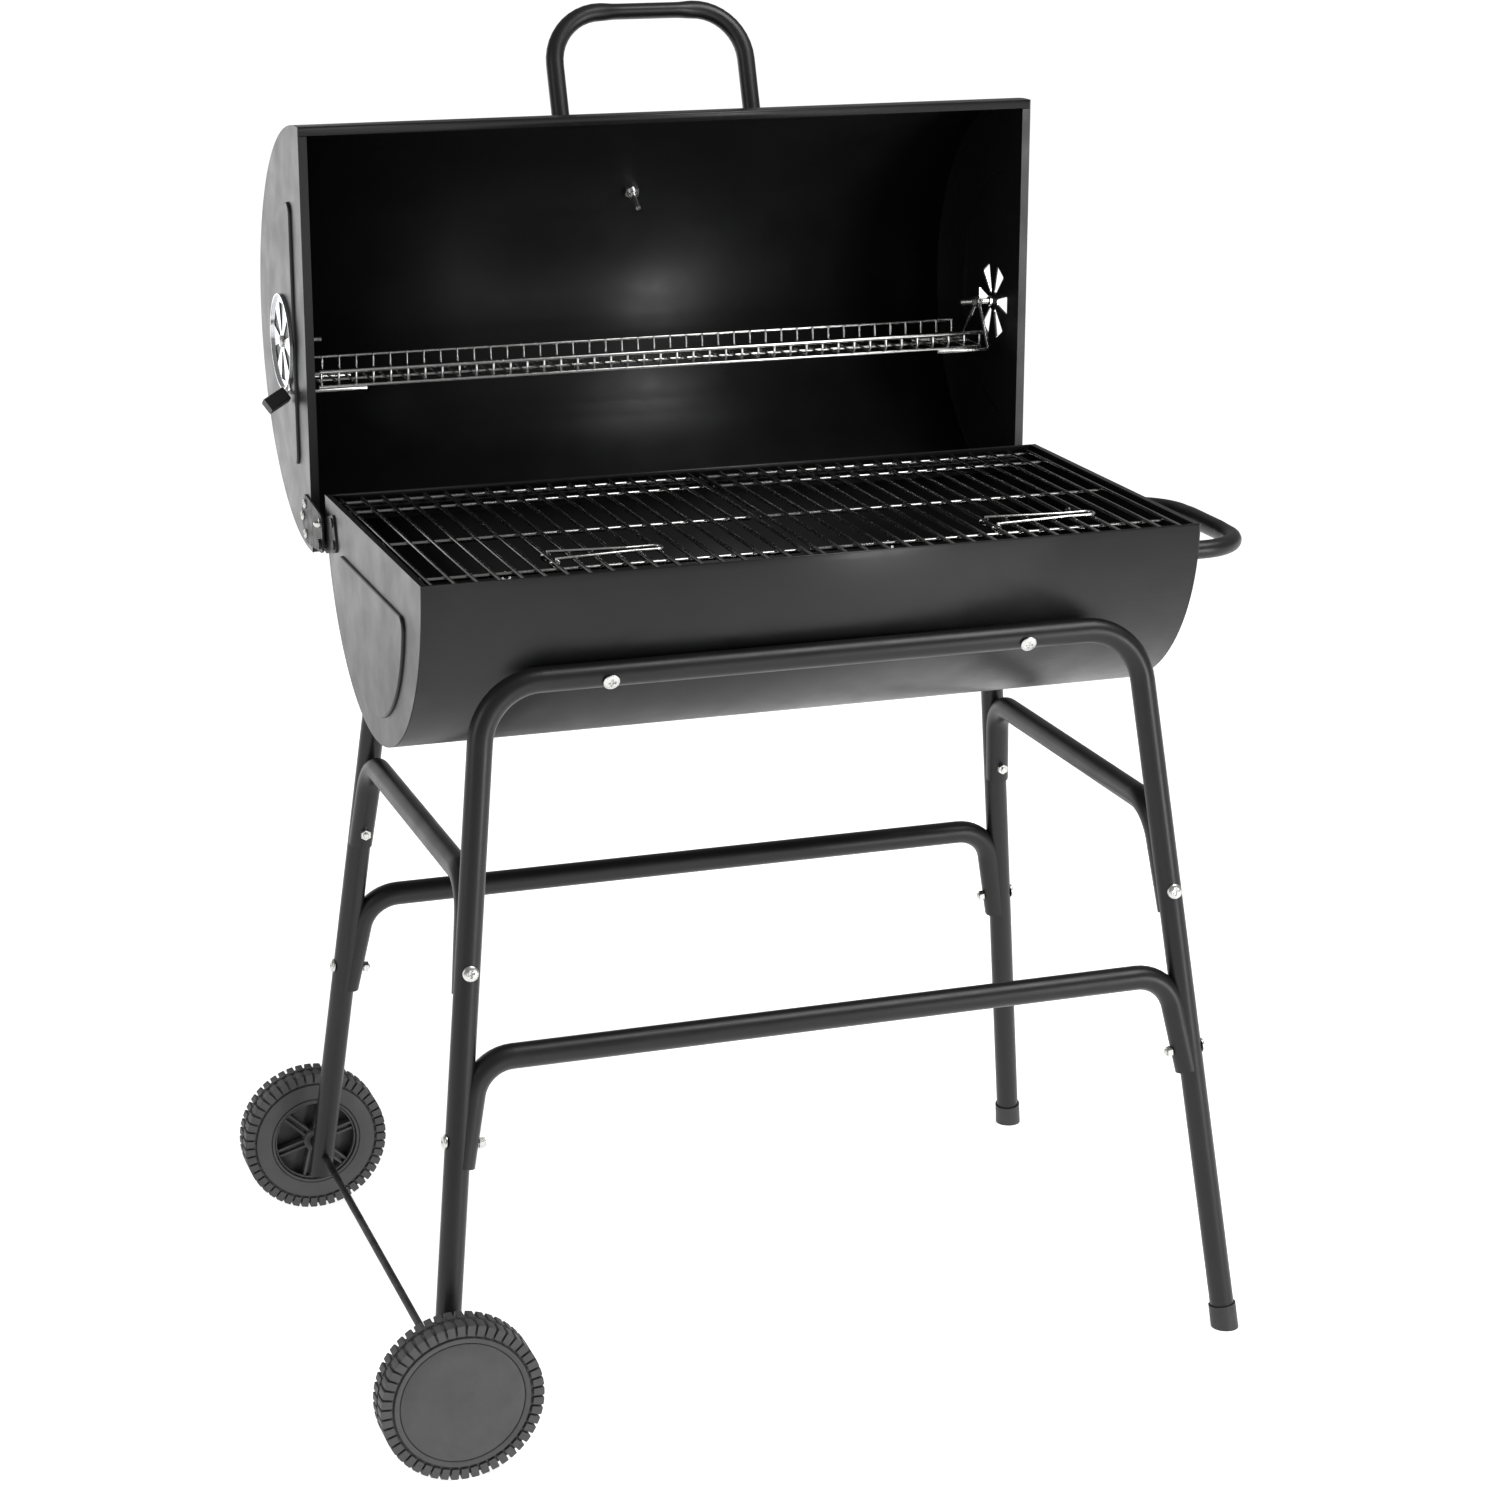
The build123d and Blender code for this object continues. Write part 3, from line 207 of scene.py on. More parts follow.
def turns(angles, axis, centre):
    """Moves that turn by each angle about an axis through a centre, from the sine and cosine of the
    angle."""
    angles = np.asarray(angles, float)
    a = unit(axis)
    cross = np.array([[0, -a[2], a[1]], [a[2], 0, -a[0]], [-a[1], a[0], 0]])
    cos, sin = np.cos(angles)[:, None, None], np.sin(angles)[:, None, None]
    moves = np.tile(np.eye(4), (len(angles), 1, 1))
    moves[:, :3, :3] = cos * np.eye(3) + sin * cross + (1 - cos) * np.outer(a, a)
    moves[:, :3, 3] = centre - moves[:, :3, :3] @ centre
    return moves


def shifts(offsets):
    """Moves that only shift."""
    offsets = np.asarray(offsets, float)
    moves = np.tile(np.eye(4), (len(offsets), 1, 1))
    moves[:, :3, 3] = offsets
    return moves


def bent(corners, radius, steps=7):
    """Straight runs with round corners: each inner corner becomes points at equal angles on the circle
    that touches both of its runs, whose centre lies on the corner's bisector at radius over the sine
    of half the angle."""
    corners = np.asarray(corners, float)
    route = [corners[:1]]
    for before, corner, after in zip(corners, corners[1:], corners[2:]):
        u, v = unit(before - corner), unit(after - corner)
        half = math.acos(np.clip(u @ v, -1, 1)) / 2
        centre = corner + unit(u + v) * radius / math.sin(half)
        first = corner + u * radius / math.tan(half) - centre
        last = corner + v * radius / math.tan(half) - centre
        t = np.linspace(0, 1, steps)[:, None]
        sweep = math.pi - 2 * half
        swing = np.sin((1 - t) * sweep) * first + np.sin(t * sweep) * last
        route.append(centre + swing / math.sin(sweep))
    route.append(corners[-1:])
    return np.concatenate(route)


def tube(route, radius, flat_normal, sides=12, wide=1.0, domed=True):
    """A round bar along a flat route: at each point a circle stands square to the route, spanned by the
    route plane's normal and the cross product of that with the tangent. Its ends shrink as quarter
    circles, so they are domed."""
    route = np.asarray(route, float)
    radius = np.broadcast_to(np.asarray(radius, float), len(route)).copy()
    wide = np.broadcast_to(np.asarray(wide, float), len(route)).copy()
    steps = unit(np.diff(route, axis=0))
    tangent = unit(np.concatenate([steps[:1], steps[:-1] + steps[1:], steps[-1:]]))
    lean = np.concatenate([[1.0], np.sqrt((1 + np.sum(steps[:-1] * steps[1:], 1)) / 2), [1.0]])
    if domed:
        bow = np.linspace(0, math.pi / 2, 4)[1:]
        grow = radius[0] * 0.6
        head = route[0] + tangent[0] * grow * (1 - np.sin(bow[::-1]))[:, None]
        tail = route[-1] - tangent[-1] * grow * (1 - np.sin(bow))[:, None]
        inner_head = route[0] + tangent[0] * grow
        inner_tail = route[-1] - tangent[-1] * grow
        body = np.concatenate([[inner_head], route[1:-1], [inner_tail]])
        shrink = np.maximum(np.cos(bow), 1e-6)
        radius = np.concatenate([radius[0] * shrink[::-1], radius, radius[-1] * shrink])
        wide = np.concatenate([wide[:1].repeat(3), wide, wide[-1:].repeat(3)])
        tangent = np.concatenate([tangent[:1].repeat(3, 0), tangent, tangent[-1:].repeat(3, 0)])
        lean = np.concatenate([np.ones(3), lean, np.ones(3)])
        route = np.concatenate([head, body, tail])
    normal = unit(flat_normal)
    side = unit(np.cross(tangent, normal)) / lean[:, None]
    angle = np.linspace(0, 2 * math.pi, sides, endpoint=False)
    ring = np.cos(angle)[None, :, None] * normal * (radius * wide)[:, None, None]
    ring = ring + np.sin(angle)[None, :, None] * side[:, None, :] * (radius / wide)[:, None, None]
    return skin(route[:, None, :] + ring, around_v=True)


def lathe(outline, centre, axis, segments=64, closed=True):
    """A turned shape: each outline point (distance from the axis, place along it) runs round the axis
    by the cosine and sine of the angle."""
    outline = np.asarray(outline, float)
    axis = unit(axis)
    across = unit(np.cross(axis, X if abs(axis[0]) < 0.9 else Y))
    other = np.cross(axis, across)
    angle = np.linspace(0, 2 * math.pi, segments, endpoint=False)
    spoke = np.cos(angle)[:, None] * across + np.sin(angle)[:, None] * other
    away, level = outline[:, :, None, None].swapaxes(0, 1)
    grid = np.asarray(centre) + away * spoke[None] + level * axis
    return skin(grid, around_u=closed, around_v=True)


def rounded(outline, radius, steps=4):
    """A closed outline of two numbers each, with every corner rounded by an arc."""
    outline = np.asarray(outline, float)
    flat = np.column_stack([outline, np.zeros(len(outline))])
    route = bent(np.concatenate([flat[-1:], flat, flat[:1]]), radius, steps)
    return route[1:-1, :2]


def slab(outline, depth, place, u, v):
    """A flat plate: a closed outline in u and v, swept between two depths along u cross v, with both
    faces closed by rings that shrink to the middle."""
    outline = np.asarray(outline, float)
    middle = outline.mean(0)
    w = np.cross(u, v)
    scale = np.array([0.0, 1.0, 1.0, 0.0])
    level = np.array([depth[0], depth[0], depth[1], depth[1]])
    flat = middle + (outline - middle)[None] * scale[:, None, None]
    grid = place + flat[..., :1] * u + flat[..., 1:] * v + level[:, None, None] * w
    return skin(grid, around_v=True)


def mesh_object(name, part, material, smooth_deg=38.0, recalculate=True):
    """A mesh object at the origin from points and faces, with doubled points merged and faces turned
    outwards."""
    points, faces = part
    mesh = bpy.data.meshes.new(name)
    mesh.from_pydata(points.tolist(), [], faces.tolist())
    bm = bmesh.new()
    bm.from_mesh(mesh)
    bmesh.ops.remove_doubles(bm, verts=bm.verts, dist=2e-6)
    bmesh.ops.dissolve_degenerate(bm, edges=bm.edges, dist=1e-7)
    if recalculate:
        bmesh.ops.recalc_face_normals(bm, faces=bm.faces)
    bm.to_mesh(mesh)
    bm.free()
    mesh.polygons.foreach_set("use_smooth", np.ones(len(mesh.polygons), bool))
    mesh.set_sharp_from_angle(angle=math.radians(smooth_deg))
    mesh.materials.append(material)
    made = bpy.data.objects.new(name, mesh)
    bpy.context.scene.collection.objects.link(made)
    return made


def islands(node):
    """The separate solids of a frame node, each as an array of points: every point takes the lowest
    label among its face neighbours until nothing changes."""
    mesh = frame["nodes"][node].data
    count = len(mesh.vertices)
    points = np.empty(count * 3)
    mesh.vertices.foreach_get("co", points)
    points = points.reshape(-1, 3)
    _, same = np.unique(np.round(points, 6), axis=0, return_inverse=True)
    same = same.ravel()
    edges = np.empty(len(mesh.edges) * 2, np.int64)
    mesh.edges.foreach_get("vertices", edges)
    first, second = same[edges.reshape(-1, 2)].T
    label = np.arange(same.max() + 1)
    while True:
        low = np.minimum(label[first], label[second])
        fresh = label.copy()
        np.minimum.at(fresh, first, low)
        np.minimum.at(fresh, second, low)
        fresh = fresh[fresh]
        if np.array_equal(fresh, label):
            break
        label = fresh
    label = label[same]
    return [points[label == value] for value in np.unique(label)]


def bolt_line(points):
    """A bolt's head end, its direction out of the head, the head's radius and height, and the shank's
    length: its axis is the direction in which its points spread most, and the head is the wider end."""
    axis = np.linalg.svd(points - points.mean(0), full_matrices=False)[2][0]
    if np.abs(axis).max() > 0.999:
        axis = np.round(axis)
    along = points @ axis
    rings = points[along > along.max() - 1e-5], points[along < along.min() + 1e-5]
    centre = [(ring.max(0) + ring.min(0)) / 2 for ring in rings]
    axis = unit(centre[0] - centre[1])
    along = (points - centre[1]) @ axis
    across = np.linalg.norm((points - centre[1]) - along[:, None] * axis, axis=1)
    far = along.max()
    if across[along < far * 0.4].max() > across[along > far * 0.6].max():
        axis, along, centre = -axis, far - along, centre[::-1]
    radius = across.max()
    head = far - along[across > radius * 0.98].min()
    return centre[0], axis, radius, head, far


def place(piece, body, slot, *nodes):
    """Let a piece ride on a body and stand for frame nodes; the slot is not used."""
    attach(piece, body)
    if nodes:
        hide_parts(*nodes)


# ------------------------------------------------------------------ materials

def shader(name):
    """A new material with its node tree, shader and object coordinates."""
    material = bpy.data.materials.new(name)
    material.use_nodes = True
    tree = material.node_tree
    tree.nodes.clear()
    output = tree.nodes.new("ShaderNodeOutputMaterial")
    surface = tree.nodes.new("ShaderNodeBsdfPrincipled")
    tree.links.new(surface.outputs["BSDF"], output.inputs["Surface"])
    coordinates = tree.nodes.new("ShaderNodeTexCoord")
    return material, tree, surface, coordinates.outputs["Object"]


def noise(tree, vector, scale, detail=3.0, stretch=None):
    """A noise value between 0 and 1; stretch squeezes it along the three axes."""
    if stretch:
        mapping = tree.nodes.new("ShaderNodeMapping")
        mapping.inputs["Scale"].default_value = stretch
        tree.links.new(vector, mapping.inputs["Vector"])
        vector = mapping.outputs["Vector"]
    node = tree.nodes.new("ShaderNodeTexNoise")
    node.inputs["Scale"].default_value = scale
    node.inputs["Detail"].default_value = detail
    tree.links.new(vector, node.inputs["Vector"])
    return node.outputs["Fac"]


def ranged(tree, value, low, high, start=0.3, end=0.7):
    """A value carried from one range to another."""
    node = tree.nodes.new("ShaderNodeMapRange")
    node.inputs["From Min"].default_value = start
    node.inputs["From Max"].default_value = end
    node.inputs["To Min"].default_value = low
    node.inputs["To Max"].default_value = high
    tree.links.new(value, node.inputs["Value"])
    return node.outputs["Result"]


def mixed(tree, factor, first, second):
    """A colour between two colours."""
    node = tree.nodes.new("ShaderNodeMix")
    node.data_type = "RGBA"
    node.inputs["A"].default_value = (*first, 1.0)
    node.inputs["B"].default_value = (*second, 1.0)
    tree.links.new(factor, node.inputs["Factor"])
    return node.outputs["Result"]


def bumped(tree, surface, heights):
    """Small relief: a chain of (height value, strength, distance) into the shader's normal."""
    last = None
    for height, strength, distance in heights:
        node = tree.nodes.new("ShaderNodeBump")
        node.inputs["Strength"].default_value = strength
        node.inputs["Distance"].default_value = distance
        tree.links.new(height, node.inputs["Height"])
        if last:
            tree.links.new(last, node.inputs["Normal"])
        last = node.outputs["Normal"]
    tree.links.new(last, surface.inputs["Normal"])


def shaded(colour, factor):
    """A colour made lighter or darker."""
    return tuple(min(1.0, c * factor) for c in colour)


def powder_coat(colour):
    """Satin black powder coat: fine orange peel and faint cloudiness."""
    material, tree, surface, at = shader("powder_coat")
    cloud = noise(tree, at, 9.0, 4.0)
    tint = mixed(tree, ranged(tree, cloud, 0.0, 1.0), shaded(colour, 0.85), shaded(colour, 1.25))
    tree.links.new(tint, surface.inputs["Base Color"])
    rough = ranged(tree, noise(tree, at, 28.0, 5.0), 0.33, 0.41)
    tree.links.new(rough, surface.inputs["Roughness"])
    surface.inputs["Specular IOR Level"].default_value = 0.36
    peel = noise(tree, at, 620.0, 2.0)
    grain = noise(tree, at, 2400.0, 1.0)
    bumped(tree, surface, [(peel, 0.22, 0.00022), (grain, 0.12, 0.00006)])
    return material


def sooty_steel(colour):
    """Dull black bar steel with grey bloom where heat has worked on it."""
    material, tree, surface, at = shader("sooty_steel")
    bloom = ranged(tree, noise(tree, at, 40.0, 5.0), 0.0, 1.0, 0.45, 0.75)
    tint = mixed(tree, bloom, shaded(colour, 1.2), (0.05, 0.048, 0.046))
    tree.links.new(tint, surface.inputs["Base Color"])
    tree.links.new(ranged(tree, noise(tree, at, 90.0, 3.0), 0.42, 0.62), surface.inputs["Roughness"])
    surface.inputs["Metallic"].default_value = 0.35
    bumped(tree, surface, [(noise(tree, at, 900.0, 3.0), 0.3, 0.0002)])
    return material


def plated(name, colour, low, high, scale, streak=None):
    """Bright plating over metal: soft changes of gloss, thin draw marks and slight tarnish."""
    material, tree, surface, at = shader(name)
    tarnish = ranged(tree, noise(tree, at, scale, 4.0), 0.0, 1.0, 0.35, 0.8)
    tree.links.new(mixed(tree, tarnish, colour, shaded(colour, 0.78)), surface.inputs["Base Color"])
    surface.inputs["Metallic"].default_value = 1.0
    marks = noise(tree, at, scale * 6.0, 3.0, streak)
    tree.links.new(ranged(tree, marks, low, high), surface.inputs["Roughness"])
    bumped(tree, surface, [(marks, 0.08, 0.00008)])
    return material


def moulded(name, colour, low, high):
    """Moulded plastic: fine spark-eroded grain and a little unevenness in gloss."""
    material, tree, surface, at = shader(name)
    cloud = ranged(tree, noise(tree, at, 30.0, 4.0), 0.0, 1.0)
    tint = mixed(tree, cloud, shaded(colour, 0.9), shaded(colour, 1.12))
    tree.links.new(tint, surface.inputs["Base Color"])
    tree.links.new(ranged(tree, noise(tree, at, 160.0, 3.0), low, high), surface.inputs["Roughness"])
    bumped(tree, surface, [(noise(tree, at, 1800.0, 2.0), 0.25, 0.00012)])
    return material


def enamel(name, colour):
    """Thin enamel with a faint mottle."""
    material, tree, surface, at = shader(name)
    mottle = ranged(tree, noise(tree, at, 220.0, 3.0), 0.0, 1.0)
    tree.links.new(mixed(tree, mottle, shaded(colour, 0.94), colour), surface.inputs["Base Color"])
    tree.links.new(ranged(tree, noise(tree, at, 400.0, 2.0), 0.28, 0.36), surface.inputs["Roughness"])
    return material


def clear_glass():
    """Thin clear glass with a trace of smudging."""
    material, tree, surface, at = shader("clear_glass")
    smudge = noise(tree, at, 120.0, 4.0)
    tint = mixed(tree, smudge, (0.93, 0.96, 0.95), (0.97, 0.98, 0.98))
    tree.links.new(tint, surface.inputs["Base Color"])
    tree.links.new(ranged(tree, smudge, 0.02, 0.07), surface.inputs["Roughness"])
    surface.inputs["Transmission Weight"].default_value = 1.0
    surface.inputs["IOR"].default_value = 1.3
    return material


FINISH = {}


def finish(name):
    """A material that the finishes operator has made."""
    return FINISH[name]


SLOT_FINISH = {
    "black_paint": "powder_coat",
    "black_steel": "sooty_steel",
    "bright_wire": "bright_wire",
    "zinc_steel": "zinc",
    "damper_chrome": "chrome",
    "black_plastic": "black_plastic",
    "wheel_plastic": "wheel_plastic",
    "dial_enamel": "dial_white",
    "clear_glass": "clear_glass",
    "needle_red": "needle_red",
}


class GRILL_OT_finishes(bpy.types.Operator):
    """Make every material and give it to the frame nodes"""

    bl_idname = "grill.finishes"
    bl_label = "Finishes"

    def execute(self, context):
        colours = context.scene.grill_colours
        paint = tuple(colours.paint)
        FINISH["powder_coat"] = powder_coat(paint)
        FINISH["sooty_steel"] = sooty_steel(paint)
        FINISH["bright_wire"] = plated("bright_wire", tuple(colours.wire), 0.13, 0.28, 60.0)
        # The grates' wire is the same plating darkened to 0.6: painted shade standing for the dark bowl that the
        # bars reflect.
        FINISH["grate_wire"] = plated("grate_wire", shaded(tuple(colours.wire), 0.6), 0.14, 0.3, 60.0)
        FINISH["zinc"] = plated("zinc", tuple(colours.zinc), 0.2, 0.36, 180.0)
        FINISH["chrome"] = plated("chrome", tuple(colours.chrome), 0.1, 0.2, 50.0, (1.0, 1.0, 6.0))
        FINISH["black_plastic"] = moulded("black_plastic", tuple(colours.black_plastic), 0.4, 0.55)
        FINISH["wheel_plastic"] = moulded("wheel_plastic", tuple(colours.tyre), 0.5, 0.64)
        FINISH["dial_white"] = enamel("dial_white", (0.8, 0.8, 0.77))
        FINISH["dial_black"] = enamel("dial_black", (0.015, 0.015, 0.015))
        FINISH["needle_red"] = enamel("needle_red", (0.45, 0.02, 0.015))
        FINISH["clear_glass"] = clear_glass()
        slots = {entry["node"]: entry["material_slot"] for entry in frame["record"]["subparts"]}
        for node, made in frame["nodes"].items():
            made.data.materials.clear()
            made.data.materials.append(finish(SLOT_FINISH[slots[node]]))
        return {"FINISHED"}


# ------------------------------------------------------------------ drum sheets

def open_sheet(profile, x_low, x_high):
    """A sheet without thickness: a profile of (y, z) points carried straight along X."""
    places = np.array([x_high, x_low])
    grid = np.empty((len(profile), 2, 3))
    grid[..., 0] = places[None, :]
    grid[..., 1:] = np.asarray(profile)[:, None, :]
    return skin(grid)


def thicken(piece, thickness):
    """Give a sheet its thickness as a live modifier, on its inner side."""
    modifier = piece.modifiers.new("thickness", "SOLIDIFY")
    modifier.thickness = thickness
    modifier.offset = -1.0
    modifier.use_even_offset = True


def arc(centre, radius, start, end, steps):
    """Points at equal angles on a circle, in the plane of two numbers."""
    angle = np.linspace(math.radians(start), math.radians(end), steps)
    return np.column_stack([centre[0] + radius * np.cos(angle), centre[1] + radius * np.sin(angle)])


SHEET = 1.2 * MM


def bowl_profile():
    """The bowl's outer line: up the folded hem, over its round edge, round the half drum and back to
    the other hem."""
    fold = 1.45 * MM
    hem = 8.0 * MM
    edge = BOWL_RADIUS - fold
    tilt = math.degrees(math.asin(fold / BOWL_RADIUS))
    right = arc((BOWL_Y + edge, RIM_Z - fold), fold, 180.0, 0.0, 7)
    start = np.array([[BOWL_Y + BOWL_RADIUS - 2 * fold, RIM_Z - hem]])
    curve = arc((BOWL_Y, RIM_Z), BOWL_RADIUS, -tilt, -180.0 + tilt, 91)
    left = arc((BOWL_Y - edge, RIM_Z - fold), fold, 180.0, 0.0, 7)
    end = np.array([[BOWL_Y - BOWL_RADIUS + 2 * fold, RIM_Z - hem]])
    return np.concatenate([start, right, curve[1:-1], left, end])


def lid_profile():
    """The lid's outer line: from the lower lip round its bend, along the skirt, round the half drum and
    back."""
    bend = 2.2 * MM
    lip = 9.0 * MM
    top, low = LID_Z + LID_RADIUS, LID_Z - LID_RADIUS
    upper = arc((LID_FACE_Y + bend, top - bend), bend, 180.0, 90.0, 6)
    lower = arc((LID_FACE_Y + bend, low + bend), bend, 270.0, 180.0, 6)
    curve = arc((LID_AXIS_Y, LID_Z), LID_RADIUS, 90.0, -90.0, 97)
    first = np.array([[LID_FACE_Y, top - lip]])
    last = np.array([[LID_FACE_Y, low + lip]])
    return np.concatenate([first, upper, curve, lower, last])


class GRILL_OT_drum(bpy.types.Operator):
    """Make the curved sheets of the bowl and the lid"""

    bl_idname = "grill.drum"
    bl_label = "Drum sheets"

    def execute(self, context):
        rows = (
            ("bowl", "stand_and_bowl", bowl_profile(), BOWL_LOW, BOWL_HIGH),
            ("lid", "lid", lid_profile(), LID_LOW, LID_HIGH),
        )
        for name, body, profile, low, high in rows:
            part = open_sheet(profile, low[0], high[0])
            sheet = mesh_object(f"{name}_sheet", part, finish("powder_coat"), 60.0, recalculate=False)
            thicken(sheet, SHEET)
            place(sheet, body, "black_paint", f"{name}_shell")
        return {"FINISHED"}


# ------------------------------------------------------------------ grates

def bars(run, across, places, low, high, z, radius):
    """Parallel bars: one bar from low to high along the run, repeated by shifts across it."""
    bar = tube([run * low + Z * z, run * high + Z * z], radius, Z)
    return repeated(bar, shifts(np.outer(places, across)))


def weld_beads(xs, ys, z, radius):
    """Small flattened beads where bars cross, one turned shape repeated."""
    bow = np.linspace(-math.pi / 2, math.pi / 2, 5)
    outline = np.column_stack([np.cos(bow) * radius * 1.25, np.sin(bow) * radius * 0.55])
    bead = lathe(outline, (0.0, 0.0, z), Z, 8, closed=False)
    gx, gy = np.meshgrid(xs, ys)
    spots = np.column_stack([gx.ravel(), gy.ravel(), np.zeros(gx.size)])
    return repeated(bead, shifts(spots))


class GRILL_OT_grates(bpy.types.Operator):
    """Make the two cooking grates and the charcoal grate in wire"""

    bl_idname = "grill.grates"
    bl_label = "Grates"

    def execute(self, context):
        wires = context.scene.grill_wires
        bar, frame_bar = wires.grate_bar, wires.grate_frame
        for side in ("left", "right"):
            low, high = low_high(f"cooking_grate_{side}")
            xs = np.linspace(low[0] + bar, high[0] - bar, wires.grate_bars)
            top = high[2] - bar
            under = low[2] + frame_bar
            inner = BOWL_Y + np.array([-150, 0, 150]) * MM
            ys = np.array([low[1] + frame_bar, *inner, high[1] - frame_bar])
            parts = [bars(Y, X, xs, low[1], high[1], top, bar)]
            parts.append(bars(X, Y, ys, low[0], high[0], under, frame_bar))
            parts.append(weld_beads(xs, ys, (top + under) / 2, bar))
            # The cooking grates take the darkened wire copy, painted shade for the dark bowl they reflect.
            grate = mesh_object(f"cooking_grate_wire_{side}", joined(parts), finish("grate_wire"))
            place(grate, f"{side}_cooking_grate", "bright_wire", f"cooking_grate_{side}")
        low, high = low_high("charcoal_grate")
        radius = frame_bar
        xs = np.linspace(low[0] + 5 * MM, high[0] - 5 * MM, wires.fire_bars)
        depth = high[1] - low[1]
        ys = BOWL_Y + np.array([-depth / 2 + 12 * MM, -50 * MM, 50 * MM, depth / 2 - 12 * MM])
        parts = [bars(Y, X, xs, low[1], high[1], high[2] - radius, radius)]
        parts.append(bars(X, Y, ys, low[0], high[0], low[2] + radius, radius))
        fire = mesh_object("charcoal_grate_bars", joined(parts), finish("sooty_steel"))
        place(fire, "fire_grate", "black_steel", "charcoal_grate")
        return {"FINISHED"}


class GRILL_OT_lifters(bpy.types.Operator):
    """Make the wire lifting handles that swing on the cooking grates"""

    bl_idname = "grill.lifters"
    bl_label = "Grate lifters"

    def execute(self, context):
        wire = 1.75 * MM
        neck = 7.0 * MM
        throat = 34.0 * MM
        bar = context.scene.grill_wires.grate_bar
        for side in ("left", "right"):
            low, high = low_high(f"grate_lifter_{side}")
            pivot = joint_row(f"{side}_lifter_fold", "pos_m")
            level = high[2] - wire
            near, far = low[1] + wire, high[1] - wire
            middle = (near + far) / 2
            tip = high[0] - wire
            corners = [[pivot[0], far, level], [tip - throat, middle + neck, level]]
            corners += [[tip, middle + neck * 1.1, level], [tip, middle - neck * 1.1, level]]
            corners += [[tip - throat, middle - neck, level], [pivot[0], near, level]]
            parts = [tube(bent(corners, neck * 0.98), wire, Z)]
            eye = bar + 0.1 * MM + wire
            turn = np.radians(np.linspace(90, -215, 22))
            circle = np.column_stack([np.cos(turn), 0 * turn, np.sin(turn)]) * eye
            for y in (near, far):
                hook = circle + np.array([pivot[0], y, pivot[2]])
                parts.append(tube(hook, wire, Y))
            lifter = mesh_object(f"grate_lifter_wire_{side}", joined(parts), finish("bright_wire"))
            place(lifter, f"{side}_lifter", "bright_wire", f"grate_lifter_{side}")
        return {"FINISHED"}


class GRILL_OT_rack(bpy.types.Operator):
    """Make the warming rack and its two hangers in wire"""

    bl_idname = "grill.rack"
    bl_label = "Warming rack"

    def execute(self, context):
        wires = context.scene.grill_wires
        rail, wire = wires.rack_rail, wires.rack_wire
        low, high = low_high("warming_rack")
        rail_z = high[2] - rail
        floor_z = low[2] + rail
        front, rear = low[1] + rail, high[1] - rail
        parts = [bars(X, Y, (front, rear), low[0], high[0], rail_z, rail)]
        inner = 6 * MM
        floor_ys = (front + inner, (front + rear) / 2, rear - inner)
        parts.append(bars(X, Y, floor_ys, low[0], high[0], floor_z, rail))
        bottom = floor_z + rail + wire - 0.4 * MM
        side = rail + 0.9 * MM
        points = [[0.0, front + side, rail_z + 1.6 * MM], [0.0, front + side, bottom]]
        points += [[0.0, rear - side, bottom], [0.0, rear - side, rail_z + 1.6 * MM]]
        staple = tube(bent(points, 3 * MM, 5), wire, X, 10)
        xs = np.linspace(low[0] + 3 * MM, high[0] - 3 * MM, wires.rack_wires)
        parts.append(repeated(staple, shifts(np.outer(xs, X))))
        rack = mesh_object("warming_rack_wire", joined(parts), finish("bright_wire"))
        place(rack, "rack", "bright_wire", "warming_rack")

        low, high = low_high("rack_hangers")
        pivot = joint_row("rack_swing", "pos_m")
        hanger_x = high[0] - rail - MID_X
        toe_x = hanger_x - 62 * MM
        eye = 3.1 * MM + rail
        foot_z = low[2] + rail
        feet = (low[1] + rail, high[1] - rail)
        parts = []
        turn = np.linspace(0, 2 * math.pi, 28)
        loop = np.column_stack([0 * turn, np.cos(turn) * eye, np.sin(turn) * eye]) + pivot * (0, 1, 1)
        for way in (-1, 1):
            x = MID_X + way * hanger_x
            parts.append(tube(loop + X * x, rail, X, domed=False))
            for lean, foot in zip((-1, 1), feet):
                top = np.array([x, pivot[1] + lean * eye, pivot[2] - 1 * MM])
                corner = np.array([x, foot, foot_z])
                toe = np.array([MID_X + way * toe_x, foot, foot_z])
                normal = np.cross(corner - top, toe - corner)
                parts.append(tube(bent([top, corner, toe], 4 * MM, 6), rail, normal))
        hangers = mesh_object("rack_hanger_wires", joined(parts), finish("bright_wire"))
        place(hangers, "rack", "bright_wire", "rack_hangers")
        return {"FINISHED"}


# ------------------------------------------------------------------ wheels

HUB_BORE = 4.1
RIM_EDGE = 61.0


